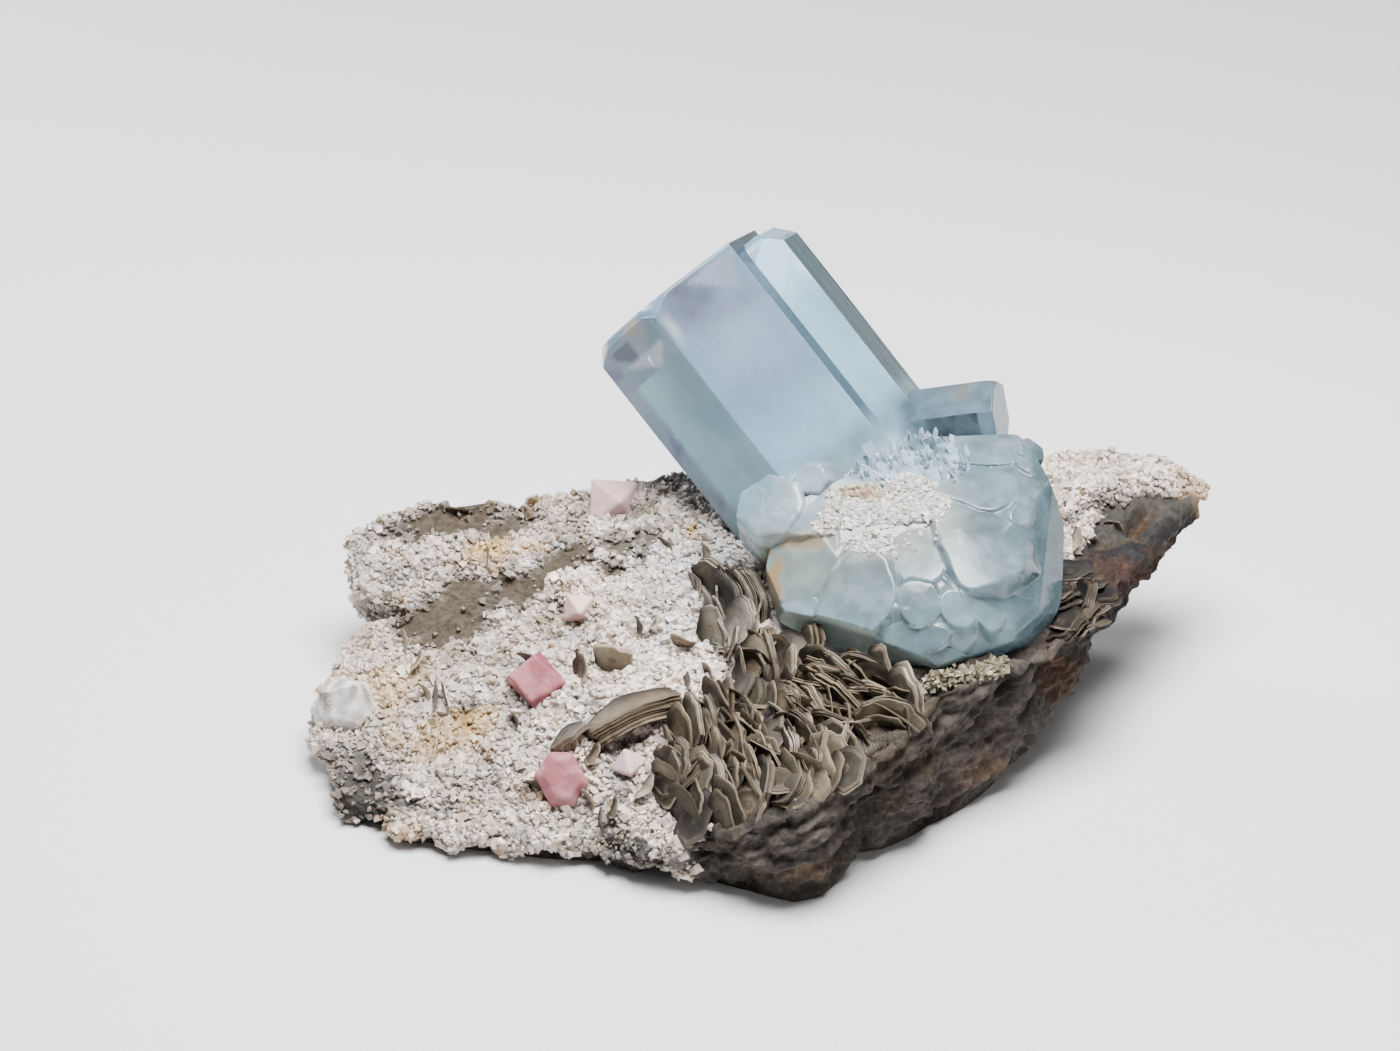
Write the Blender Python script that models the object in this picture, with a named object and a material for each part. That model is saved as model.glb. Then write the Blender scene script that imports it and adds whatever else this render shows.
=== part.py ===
"""Aquamarine crystals on a matrix of albite, muscovite mica and grey rock.

Lengths in the tables are millimetres in a working frame: +X right, +Y away from
the front, +Z up, the rock's flat underside at Z = 0.  At the end everything is
moved together so that the middle of the whole box stands over the origin.

The front of the piece is laid out in a second frame that faces out and 30 degrees
up: "across" is +X, "rise" runs up the slope and "out" points away from the front.
"""
import math

import bmesh
import bpy
import numpy as np
from mathutils import Matrix, Vector

MM = 0.001
GAP = 0.3  # clearance left between two pieces that touch

# ---- frame of the front -------------------------------------------------------
FRONT_ORIGIN = Vector((0.0, 0.0, 35.0))
FRONT_LIFT = math.radians(30.0)
ACROSS = Vector((1.0, 0.0, 0.0))
RISE = Vector((0.0, math.sin(FRONT_LIFT), math.cos(FRONT_LIFT)))
OUT = Vector((0.0, -math.cos(FRONT_LIFT), math.sin(FRONT_LIFT)))

# ---- matrix rock ---------------------------------------------------------------
ROCK_CENTRE = (12.0, -16.0)
ROCK_SEGMENTS = 72
ROCK_PHASE = 3.0  # turns the segments so that one of them meets the pointed end
ROCK_WALL_RINGS = 6
ROCK_TOP_RINGS = 11
ROCK_CROWN = 27.0  # height of the top at the rock's centre
ROCK_SLOPE = (0.09, 0.17)  # climb of the top to the right and to the back
ROCK_CAMBER = 0.0016  # how it rounds down toward both ends
ROCK_EDGE_POWER = 3.0  # how close to the rim the top keeps its own slope
ROCK_BULGE = 1.6  # how far the side wall swells between foot and rim
ROCK_RELIEF = 1.1  # size of the lumps on the broken surface
ROCK_LUMP = 11.0  # spacing of those lumps
# direction in degrees, radius of the foot, radius of the rim, height of the rim
ROCK_OUTLINE = (
    (0, 41, 52, 26), (8, 41, 57, 27), (17, 45, 66, 28), (24, 51, 77, 29),
    (28, 56, 86, 29), (33, 60, 82, 32), (38, 58, 73, 33), (44, 52, 63, 32),
    (60, 44, 50, 32), (80, 36, 42, 32), (93, 34, 40, 32), (111, 36, 44, 31),
    (126, 43, 50, 29), (139, 50, 57, 27), (146, 62, 71, 26), (150, 69, 78, 24),
    (154, 72, 81, 21), (158, 70, 76, 18), (163, 60, 63, 17), (168, 68, 72, 14),
    (175, 70, 73, 11), (179, 74, 76, 9), (185, 72, 73.5, 7), (195, 70, 71.5, 5),
    (203, 64, 66, 5), (213, 53, 55, 5), (228, 42, 45, 6), (240, 38, 44, 8),
    (253, 38, 42.5, 11), (264, 40, 44, 14), (274, 43, 45.5, 18), (280, 42, 44, 20),
    (287, 37, 41, 22), (294, 32, 39, 23), (302, 33, 37, 24), (320, 33, 34, 25),
    (338, 36, 39, 26), (348, 38, 47, 26),
)


def lattice(ix, iy, iz):
    """One repeatable number between 0 and 1 for each corner of a cubic lattice."""
    mix = np.sin(ix * 127.1 + iy * 311.7 + iz * 74.7) * 43758.5453
    return mix - np.floor(mix)


def lumps(x, y, z, spacing):
    """Smooth lumpy relief between -1 and 1: lattice numbers blended between corners."""
    gx, gy, gz = x / spacing, y / spacing, z / spacing
    ix, iy, iz = np.floor(gx), np.floor(gy), np.floor(gz)
    fx, fy, fz = gx - ix, gy - iy, gz - iz
    wx, wy, wz = (f * f * (3.0 - 2.0 * f) for f in (fx, fy, fz))
    total = np.zeros_like(gx)
    for dx in (0, 1):
        for dy in (0, 1):
            for dz in (0, 1):
                part = np.where(dx, wx, 1 - wx) * np.where(dy, wy, 1 - wy)
                part = part * np.where(dz, wz, 1 - wz)
                total = total + part * lattice(ix + dx, iy + dy, iz + dz)
    return 2.0 * total - 1.0


def rock_surface(turn, level, grow=0.0):
    """Points of the rock's skin for arrays of direction (degrees) and level.

    Level 0 is the foot of the side wall, 1 the rim, 2 the middle of the top.
    The wall runs from foot radius to rim radius with a swell between them; the
    top is a cambered slope that bends to the rim's own height near the edge.
    A grown skin is moved outward on the wall and upward on the top.
    """
    table = np.array(ROCK_OUTLINE)
    foot = np.interp(turn, table[:, 0], table[:, 1], period=360)
    rim = np.interp(turn, table[:, 0], table[:, 2], period=360)
    rim_z = np.interp(turn, table[:, 0], table[:, 3], period=360)
    wall = np.clip(level, 0.0, 1.0)
    inward = np.clip(2.0 - level, 0.0, 1.0)
    radius = foot + (rim - foot) * wall + ROCK_BULGE * np.sin(math.pi * wall) ** 2
    radius = np.where(level > 1.0, rim * inward, radius)
    angle = np.radians(turn)
    dx, dy = radius * np.cos(angle), radius * np.sin(angle)
    slope = ROCK_CROWN + ROCK_SLOPE[0] * dx + ROCK_SLOPE[1] * dy - ROCK_CAMBER * dx * dx
    edge = inward ** ROCK_EDGE_POWER
    top_z = rim_z * edge + slope * (1.0 - edge)
    height = np.where(level > 1.0, top_z, rim_z * wall)
    x, y = ROCK_CENTRE[0] + dx, ROCK_CENTRE[1] + dy
    bump = ROCK_RELIEF * lumps(x, y, height, ROCK_LUMP) * np.clip(3.0 * level, 0, 1)
    on_top = np.clip(level - 0.7, 0.0, 0.6) / 0.6
    aside = bump * (1.0 - on_top) + np.where(level <= 1.0, grow, 0.0)
    upward = bump * on_top + np.where(level >= 1.0, grow, 0.0)
    upward = upward - np.where(level <= 0.0, grow, 0.0)
    x = x + aside * np.cos(angle)
    y = y + aside * np.sin(angle)
    return x, y, height + upward


def rock_top(x, y):
    """Height of the rock's top at a place in plan."""
    dx, dy = x - ROCK_CENTRE[0], y - ROCK_CENTRE[1]
    turn = math.degrees(math.atan2(dy, dx)) % 360.0
    table = np.array(ROCK_OUTLINE)
    rim = np.interp(turn, table[:, 0], table[:, 2], period=360)
    level = 2.0 - min(1.0, math.hypot(dx, dy) / rim)
    return float(rock_surface(np.array([turn]), np.array([level]))[2][0])


# ---- tall aquamarine, two parallel prisms grown together -----------------------
TALL_FOOT = (28.8, -2.6, -12.0)  # across, rise, out
TALL_HEADING = 128.2  # direction of the prism axis in the front frame
TALL_FLATS = 30.9
TALL_LENGTH = 53.9
TALL_ROOT = 12.0
TALL_FACE = 11.4  # how far the front face is turned to the side
TWIN_SIDESTEP = 13.0
TWIN_FLATS = 17.3
TWIN_LENGTH = 52.2
# face or corner direction, distance out to it, leg of the bevel
TALL_BEVELS = (
    (-78.6, 17.85, 3.0), (-18.6, 17.85, 2.2), (-48.6, 15.45, 0.9), (11.4, 15.45, 0.4),
)
TWIN_BEVELS = ((11.4, 8.65, 1.3), (71.4, 8.65, 3.2), (41.4, 10.0, 2.0))

# ---- small aquamarine behind ---------------------------------------------------
BACK_TIP = (50.6, 18.6, -6.0)  # middle of its end face: across, rise, out
BACK_HEADING = 7.0
BACK_SWING = 17.0  # its end is turned this far out of the front's plane
BACK_FLATS = 11.3
BACK_LENGTH = 24.0
BACK_FACE = 62.0  # roll of the first prism face about the axis

# ---- squat aquamarine ------------------------------------------------------------
SQUAT_DEPTH = 12.0  # how far out the widest section lies
SQUAT_BACK = -13.0
SQUAT_UNDERSIDE = 21.0  # height at which its root ends inside the rock
# corners of the widest section (across, rise) and the draft of the side after each
SQUAT_SIDES = (
    (10.6, -7.3, 16), (12.8, -15.8, 22), (26.2, -22.4, 14), (36.9, -25.6, 12),
    (46.7, -23.8, 20), (54.9, -20.1, 28), (59.3, -13.0, 16), (60.0, 0.4, 12),
    (55.9, 10.7, 8), (52.6, 15.2, 4), (37.7, 14.6, 0), (24.6, 8.5, 0),
    (13.0, 2.5, 6),
)
# facets of the blunt end: tilt across, tilt up, and a point on it
SQUAT_FACETS = (
    (0, 41, (40, 14.0, 6.6)), (-6, 33, (34, -4.0, 20.6)), (4, 14, (38, -16.0, 27.0)),
    (0, -38, (40, -22.6, 27.2)), (-34, 12, (16, -8.0, 16.8)), (36, 8, (53, -8.0, 18.4)),
    (58, 2, (58, -4.0, 12.6)), (24, -24, (50, -16.0, 22.4)), (-22, -22, (20, -17.0, 20.0)),
)
# raised lobes of the end: middle (across, rise), how proud, radius, tilt across and up
SQUAT_LOBES = (
    (14.6, 3.2, 4.6, 7.0, -16, 20), (20.4, 8.4, 3.4, 2.8, 10, 30),
    (17.4, -7.6, 1.4, 6.6, -22, 14), (24.0, -11.0, 2.2, 7.0, -10, 18),
    (34.6, -7.0, 1.7, 5.4, 4, 30), (45.6, -2.6, 1.8, 7.8, 14, 26),
    (45.6, 8.0, 1.7, 6.8, 12, 40), (32.4, -19.0, 1.3, 6.4, -4, -4),
    (41.6, -13.4, 1.3, 3.2, 8, 8), (54.2, 11.2, 3.4, 3.4, 34, 30),
)
LOBE_DEPTH = 7.0
LOBE_DRAFT = 24.0


def front_point(across, rise, out):
    """A place given in the frame of the front."""
    return FRONT_ORIGIN + ACROSS * across + RISE * rise + OUT * out


def front_heading(degrees):
    """The direction in the plane of the front at this angle from across to rise."""
    turn = math.radians(degrees)
    return ACROSS * math.cos(turn) + RISE * math.sin(turn)


def front_tilt(across, up):
    """The outward direction tilted by two angles, to the side and up the slope."""
    side, lift = math.radians(across), math.radians(up)
    flat = OUT * math.cos(side) + ACROSS * math.sin(side)
    return flat * math.cos(lift) + RISE * math.sin(lift)


def cut_block(planes, middle, grow):
    """A convex crystal: a cube cut back by every plane (outward normal, point)."""
    bm = bmesh.new()
    bmesh.ops.create_cube(bm, size=300.0, matrix=Matrix.Translation(middle))
    for normal, point in planes:
        facing = normal.normalized()
        geometry = bm.verts[:] + bm.edges[:] + bm.faces[:]
        bmesh.ops.bisect_plane(
            bm, geom=geometry, plane_co=point + facing * grow, plane_no=facing,
            clear_outer=True,
        )
        bmesh.ops.holes_fill(bm, edges=bm.edges, sides=0)
    return bm


def prism_planes(tip, axis, first, flats, length, offset, bevels):
    """Planes of a six-sided prism whose end face has its middle at tip."""
    side = axis.cross(first)
    centre = tip + offset

    def spoke(degrees):
        turn = math.radians(degrees)
        return first * math.cos(turn) + side * math.sin(turn)

    planes = [(axis, centre), (-axis, centre - axis * length)]
    for face in range(6):
        normal = spoke(60.0 * face)
        planes.append((normal, centre + normal * flats / 2.0))
    for degrees, reach, leg in bevels:
        outward = spoke(degrees)
        planes.append((outward + axis, centre + outward * (reach - leg)))
    return planes


def tall_blocks(grow):
    """The main prism and its parallel twin."""
    axis = front_heading(TALL_HEADING)
    beside = front_heading(TALL_HEADING - 90.0)
    turn = math.radians(TALL_FACE)
    first = OUT * math.cos(turn) + beside * math.sin(turn)
    foot = front_point(*TALL_FOOT)
    zero = Vector((0.0, 0.0, 0.0))
    main_bevels = [(a - TALL_FACE, r, leg) for a, r, leg in TALL_BEVELS]
    twin_bevels = [(a - TALL_FACE, r, leg) for a, r, leg in TWIN_BEVELS]
    main = prism_planes(
        foot + axis * TALL_LENGTH, axis, first, TALL_FLATS,
        TALL_LENGTH + TALL_ROOT, zero, main_bevels,
    )
    twin = prism_planes(
        foot + axis * TWIN_LENGTH, axis, first, TWIN_FLATS,
        TWIN_LENGTH + TALL_ROOT, beside * TWIN_SIDESTEP, twin_bevels,
    )
    return [cut_block(main, foot, grow), cut_block(twin, foot, grow)]


def back_block(grow):
    """The small prism that lies behind the squat crystal."""
    swing = math.radians(BACK_SWING)
    axis = front_heading(BACK_HEADING) * math.cos(swing) + OUT * math.sin(swing)
    upright = (RISE - axis * RISE.dot(axis)).normalized()
    turn = math.radians(BACK_FACE)
    first = upright * math.cos(turn) + axis.cross(upright) * math.sin(turn)
    tip = front_point(*BACK_TIP)
    zero = Vector((0.0, 0.0, 0.0))
    planes = prism_planes(tip, axis, first, BACK_FLATS, BACK_LENGTH, zero, ())
    return cut_block(planes, tip, grow)


def squat_body(grow):
    """The wide short crystal: drafted sides, facets on its blunt end."""
    planes = [(-OUT, front_point(35.0, 0.0, SQUAT_BACK))]
    planes.append((Vector((0.0, 0.0, -1.0)), Vector((0.0, 0.0, SQUAT_UNDERSIDE))))
    corners = SQUAT_SIDES
    for here, after in zip(corners, corners[1:] + corners[:1]):
        run, climb = after[0] - here[0], after[1] - here[1]
        outward = (ACROSS * climb - RISE * run).normalized()
        draft = math.radians(here[2])
        normal = outward * math.cos(draft) + OUT * math.sin(draft)
        corner = front_point(here[0], here[1], SQUAT_DEPTH)
        planes.append((normal, corner))
        planes.append((outward, corner))
    for across, up, place in SQUAT_FACETS:
        planes.append((front_tilt(across, up), front_point(*place)))
    return cut_block(planes, front_point(35.0, -3.0, 5.0), grow)


def squat_reach(across, rise):
    """How far out the facets of the blunt end lie at this place."""
    place = front_point(across, rise, 0.0)
    reaches = []
    for tilt, up, point in SQUAT_FACETS:
        normal = front_tilt(tilt, up)
        reaches.append((front_point(*point) - place).dot(normal) / OUT.dot(normal))
    return min(reaches)


def lobe_block(lobe, grow):
    """One raised six-sided lobe with drafted sides."""
    across, rise, proud, radius, tilt, up = lobe
    facing = front_tilt(tilt, up)
    first = (RISE - facing * RISE.dot(facing)).normalized()
    side = facing.cross(first)
    centre = front_point(across, rise, squat_reach(across, rise) + proud)
    planes = [(facing, centre), (-facing, centre - facing * LOBE_DEPTH)]
    draft = math.radians(LOBE_DRAFT)
    for face in range(6):
        turn = math.radians(60.0 * face + 14.0)
        outward = first * math.cos(turn) + side * math.sin(turn)
        normal = outward * math.cos(draft) + facing * math.sin(draft)
        planes.append((normal, centre + outward * radius * math.cos(math.pi / 6)))
    return cut_block(planes, centre, grow)


def aquamarine_blocks(grow):
    """Every block of the joined aquamarine cluster."""
    blocks = tall_blocks(grow) + [squat_body(grow), back_block(grow)]
    blocks.extend(lobe_block(lobe, grow) for lobe in SQUAT_LOBES)
    return blocks


# ---- mica books -------------------------------------------------------------------
# plan place, heading of the long edge, how much the face shows, length, height, curl
ROSETTE_BOOKS = (
    (-1.0, -37.0, 95, 20, 11, 9, 1.6), (1.6, -38.8, 92, 15, 12, 9, 1.6),
    (5.3, -42.0, 76, 25, 10, 9, 1.2), (7.8, -34.6, 55, 35, 9, 8, 0.8),
    (11.6, -27.6, 97, 12, 12, 8, 0.8), (13.8, -30.7, 80, 15, 11, 8, -0.6),
    (8.6, -27.2, 80, 55, 10, 8, 1.0), (17.7, -32.1, 15, 50, 11, 8, -0.8),
    (22.9, -30.2, 135, 12, 10, 8, 0.8), (26.6, -31.0, 155, 40, 12, 8, -1.0),
    (22.4, -37.0, 130, 22, 12, 9, 1.2), (27.9, -35.8, 170, 14, 10, 8, 0.6),
    (27.6, -40.2, 62, 20, 9, 8, 0.8), (32.6, -37.4, 100, 35, 12, 9, -1.8),
    (30.0, -42.6, 170, 58, 12, 9, -1.0), (23.0, -42.8, 155, 14, 13, 9, 0.8),
    (17.6, -44.4, 128, 16, 12, 9, 0.8), (10.1, -44.6, 55, 42, 12, 9, 1.0),
    (14.3, -48.4, 92, 10, 10, 9, 0.6), (18.6, -48.4, 82, 12, 10, 9, -0.6),
    (21.6, -46.2, 68, 14, 9, 8, -0.6), (-0.8, -46.4, 75, 48, 11, 9, 1.4),
    (2.6, -48.2, 88, 18, 9, 9, 1.0), (6.4, -50.0, 32, 60, 11, 9, -1.0),
    (10.0, -52.0, 80, 16, 10, 9, 0.8), (13.8, -53.4, 58, 26, 9, 8, 0.8),
    (16.4, -54.0, 16, 58, 10, 8, -1.0), (-3.6, -43.0, 82, 38, 9, 8, 1.2),
    (18.2, -38.8, 105, 16, 11, 9, 1.2),
)
ROSETTE_FOOT = (14.5, -41.5, 18.5, 12.0, 2.6)  # plan middle, half width, half depth, rise
FAN_BOOKS = (
    (4.0, -12.5, 78, 34, 13, 9, 2.4), (6.6, -11.5, 96, 26, 14, 10, 2.6),
    (9.4, -10.6, 108, 20, 13, 9, 2.2), (6.0, -17.6, 60, 48, 11, 8, 1.6),
    (2.6, -7.0, 112, 40, 11, 8, 1.8),
)
FAN_FOOT = (5.6, -11.8, 6.0, 7.5, 2.6)
RIGHT_BOOKS = (
    (61.5, -13.6, 20, 36, 10, 8, -0.8), (64.4, -9.4, 8, 26, 11, 8, -0.8),
    (59.4, -17.0, 38, 30, 9, 8, -0.6), (62.6, -11.0, 62, 22, 9, 8, 0.8),
)
RIGHT_FOOT = (61.2, -12.8, 4.6, 5.6, 3.2)
LONG_BOOK = (-11.0, -32.6, 24, 46, 17, 9, -2.6)
SMALL_BOOK = (-21.4, -34.4, 38, 34, 8, 5, -0.8)
LEFT_CURL = (-19.4, -21.8, 88, 22, 7, 5, 1.0)
RIGHT_CURL = (-13.4, -21.8, 158, 52, 8, 6, -1.4)
BOOK_THICKNESS = 1.3
LONG_BOOK_THICKNESS = 2.2
BOOK_STRIPS = 4
BOOK_LIFT = 2.4  # how far the middle of a book stands out from the rock

# ---- pink crystals and the clear crystal ---------------------------------------------
# plan place, distance from middle to face, roll about out, tilt across, tilt up
PINK_OCTAHEDRA = {
    "pink_crystal_lower": (-22.3, -41.8, 3.7, 10, 6, 10),
    "pink_crystal_back": (-14.8, 18.6, 3.4, 40, 20, 60),
    "pink_crystal_middle": (-20.2, -6.4, 2.4, 30, 10, 40),
    "pink_crystal_small": (-11.4, -40.8, 2.2, 15, 30, 20),
}
PINK_CUT = 0.86  # corners are cut back to this part of their full reach
OCTAHEDRON_SLANT = math.degrees(math.acos(-1.0 / 3.0))  # between faces that meet
PINK_TABLET = (-26.9, -22.8, 128.0, 8, 28)  # plan place, roll about out, tilts
PINK_TABLET_HALF = (3.5, 4.0, 3.4)
PINK_TABLET_BEVEL = 1.5
CLEAR_CRYSTAL = (-58.6, -15.2, 4.4)  # plan place and half size
CLEAR_TURN = (25, 20, 35)  # roll about out, tilt across, tilt up


def book_block(book, thickness, grow=0.0):
    """One curved mica book: a strip grid shaped to an oval, curled and thickened."""
    x, y, heading, show, length, height, curl = book
    edge = front_heading(heading)
    beside = front_heading(heading + 90.0)
    turn = math.radians(show)
    normal = beside * math.cos(turn) + OUT * math.sin(turn)
    depth = edge.cross(normal)
    middle = Vector((x, y, rock_top(x, y))) + OUT * BOOK_LIFT
    bm = bmesh.new()
    bmesh.ops.create_grid(bm, x_segments=BOOK_STRIPS, y_segments=1, size=1.0)
    for vert in bm.verts:
        along = vert.co.x * 0.94
        reach = math.sqrt(1.0 - along * along) * math.copysign(1.0, vert.co.y)
        flat = edge * (along * length / 2.0) + depth * (reach * height / 2.0)
        vert.co = middle + flat + normal * (curl * along * along - thickness / 2.0)
    swept = bmesh.ops.extrude_face_region(bm, geom=bm.faces[:])
    moved = [item for item in swept["geom"] if isinstance(item, bmesh.types.BMVert)]
    bmesh.ops.translate(bm, verts=moved, vec=normal * thickness)
    bmesh.ops.recalc_face_normals(bm, faces=bm.faces)
    return bm


def foot_block(foot):
    """The close mass of mica at the root of a group of books."""
    x, y, half_width, half_depth, rise = foot
    bm = bmesh.new()
    bmesh.ops.create_uvsphere(bm, u_segments=14, v_segments=8, radius=1.0)
    for vert in bm.verts:
        px = x + vert.co.x * half_width
        py = y + vert.co.y * half_depth
        vert.co = Vector((px, py, rock_top(px, py) + vert.co.z * rise - 0.5))
    bmesh.ops.recalc_face_normals(bm, faces=bm.faces)
    return bm


def tilted_frame(roll, across, up):
    """Rotation whose third axis looks out from the front, tilted and rolled."""
    facing = front_tilt(across, up)
    first = (ACROSS - facing * ACROSS.dot(facing)).normalized()
    second = facing.cross(first)
    frame = Matrix((first, second, facing)).transposed()
    return frame @ Matrix.Rotation(math.radians(roll), 3, "Z")


def octahedron_block(x, y, reach, roll, tilt, up):
    """An octahedron lying on one face, its six corners cut a little."""
    frame = tilted_frame(roll, tilt, up)
    middle = Vector((x, y, rock_top(x, y))) + OUT * reach * 0.35
    slant = math.radians(OCTAHEDRON_SLANT)
    lean = math.acos(1.0 / math.sqrt(3.0))
    planes = []
    for sign in (1.0, -1.0):
        planes.append((frame @ Vector((0.0, 0.0, sign)), middle + frame.col[2] * sign * reach))
        for third in range(3):
            turn = math.radians(120.0 * third)
            aside = Vector((math.cos(turn), math.sin(turn), 0.0))
            face = aside * math.sin(slant) + Vector((0.0, 0.0, math.cos(slant)))
            corner = aside * math.sin(lean) * -1.0 + Vector((0.0, 0.0, math.cos(lean)))
            normal = frame @ (face * -sign)
            tip = frame @ (corner * sign)
            planes.append((normal, middle + normal * reach))
            planes.append((tip, middle + tip * reach * math.sqrt(3.0) * PINK_CUT))
    return cut_block(planes, middle, 0.0)


def tablet_block():
    """The blocky pink crystal: a brick with one bevelled edge."""
    x, y, roll, tilt, up = PINK_TABLET
    frame = tilted_frame(roll, tilt, up)
    middle = Vector((x, y, rock_top(x, y))) + OUT * PINK_TABLET_HALF[2] * 0.4
    planes = []
    for axis, half in enumerate(PINK_TABLET_HALF):
        direction = frame.col[axis].copy()
        planes.append((direction, middle + direction * half))
        planes.append((-direction, middle - direction * half))
    edge = frame.col[0] + frame.col[2]
    reach = frame.col[0] * (PINK_TABLET_HALF[0] - PINK_TABLET_BEVEL)
    planes.append((edge, middle + reach + frame.col[2] * PINK_TABLET_HALF[2]))
    return cut_block(planes, middle, 0.0)


def clear_block():
    """The colourless crystal on the left end: a short prism with sloping ends."""
    x, y, half = CLEAR_CRYSTAL
    frame = tilted_frame(*CLEAR_TURN)
    middle = Vector((x, y, rock_top(x, y))) + OUT * half * 0.3
    planes = []
    for face in range(6):
        turn = math.radians(60.0 * face)
        normal = frame @ Vector((math.cos(turn), math.sin(turn), 0.0))
        sloped = frame @ Vector((math.cos(turn), math.sin(turn), 0.9))
        planes.append((normal, middle + normal * half))
        planes.append((sloped, middle + frame @ Vector((0.0, 0.0, half * 1.3))))
    planes.append((-(frame @ Vector((0.0, 0.0, 1.0))), middle - frame.col[2] * half * 1.4))
    return cut_block(planes, middle, 0.0)


def rock_block(grow=0.0):
    """The matrix: a sphere of rings reshaped to foot, side wall, rim and top."""
    rings = 1 + ROCK_WALL_RINGS + ROCK_TOP_RINGS
    bm = bmesh.new()
    bmesh.ops.create_uvsphere(bm, u_segments=ROCK_SEGMENTS, v_segments=rings, radius=1.0)
    for vert in bm.verts:
        turn = (math.degrees(math.atan2(vert.co.y, vert.co.x)) + ROCK_PHASE) % 360.0
        from_foot = rings - round(math.acos(max(-1.0, min(1.0, vert.co.z))) / math.pi * rings)
        if from_foot == 0:
            vert.co = Vector((ROCK_CENTRE[0], ROCK_CENTRE[1], -grow))
            continue
        step = from_foot - 1
        if step <= ROCK_WALL_RINGS:
            level = step / ROCK_WALL_RINGS
        else:
            level = 1.0 + (step - ROCK_WALL_RINGS) / ROCK_TOP_RINGS
        point = rock_surface(np.array([turn]), np.array([level]), grow)
        vert.co = Vector([float(part[0]) for part in point])
    bmesh.ops.triangulate(bm, faces=bm.faces, quad_method="FIXED")
    bmesh.ops.recalc_face_normals(bm, faces=bm.faces)
    return bm


# ---- scene --------------------------------------------------------------------------
MATERIALS = {
    "matrix_stone": ((0.55, 0.52, 0.48, 1.0), 0.85, 0.0),
    "aquamarine": ((0.55, 0.74, 0.82, 1.0), 0.08, 0.0),
    "mica": ((0.36, 0.32, 0.25, 1.0), 0.35, 0.0),
    "pink_crystal": ((0.78, 0.50, 0.53, 1.0), 0.25, 0.0),
    "clear_crystal": ((0.85, 0.86, 0.86, 1.0), 0.08, 0.0),
}


def clear_scene():
    """Start from an empty scene."""
    for item in list(bpy.data.objects):
        bpy.data.objects.remove(item, do_unlink=True)


def new_collection(name):
    """A collection linked to the scene."""
    made = bpy.data.collections.new(name)
    bpy.context.scene.collection.children.link(made)
    return made


def new_material(name):
    """A plain material from the table."""
    colour, roughness, metallic = MATERIALS[name]
    made = bpy.data.materials.new(name)
    made.use_nodes = True
    shader = made.node_tree.nodes["Principled BSDF"]
    shader.inputs["Base Color"].default_value = colour
    shader.inputs["Roughness"].default_value = roughness
    shader.inputs["Metallic"].default_value = metallic
    return made


def add_piece(name, bm, collection, material=None):
    """Turn a millimetre bmesh into a metre object of this collection."""
    bmesh.ops.scale(bm, vec=(MM, MM, MM), verts=bm.verts)
    bmesh.ops.remove_doubles(bm, verts=bm.verts, dist=0.00002)
    bmesh.ops.recalc_face_normals(bm, faces=bm.faces)
    mesh = bpy.data.meshes.new(name)
    bm.to_mesh(mesh)
    bm.free()
    if material is not None:
        mesh.materials.append(material)
    made = bpy.data.objects.new(name, mesh)
    collection.objects.link(made)
    return made


def add_cutter(name, bm, collection):
    """A helper body that only shapes others."""
    made = add_piece(name, bm, collection)
    made.hide_render = True
    made.display_type = "WIRE"
    return made


def boolean(piece, operation, other):
    """Join to or cut from a piece: other is one object or a collection."""
    step = piece.modifiers.new(operation.lower(), "BOOLEAN")
    step.operation = operation
    step.solver = "EXACT"
    if isinstance(other, bpy.types.Collection):
        step.operand_type = "COLLECTION"
        step.collection = other
    else:
        step.object = other


def cutter_group(name, blocks, parent):
    """Several helper bodies in a collection of their own."""
    group = bpy.data.collections.new(name)
    parent.children.link(group)
    for number, bm in enumerate(blocks):
        add_cutter(f"{name}_{number}", bm, group)
    return group


def mica_group(name, books, foot, home, cutters, material):
    """A root mass joined with its books."""
    piece = add_piece(name, foot_block(foot), home, material)
    blocks = [book_block(book, BOOK_THICKNESS) for book in books]
    boolean(piece, "UNION", cutter_group(name + "_books", blocks, cutters))
    return piece


def centre_over_origin(pieces, everything):
    """Move all objects so that the box of the pieces stands over the origin."""
    graph = bpy.context.evaluated_depsgraph_get()
    points = []
    for piece in pieces:
        mesh = piece.evaluated_get(graph).to_mesh()
        points.extend(piece.matrix_world @ vert.co for vert in mesh.vertices)
    low = [min(point[axis] for point in points) for axis in range(3)]
    high = [max(point[axis] for point in points) for axis in range(3)]
    move = Vector(((low[0] + high[0]) / -2.0, (low[1] + high[1]) / -2.0, -low[2]))
    for item in everything:
        item.data.transform(Matrix.Translation(move))
        item.data.update()


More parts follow.
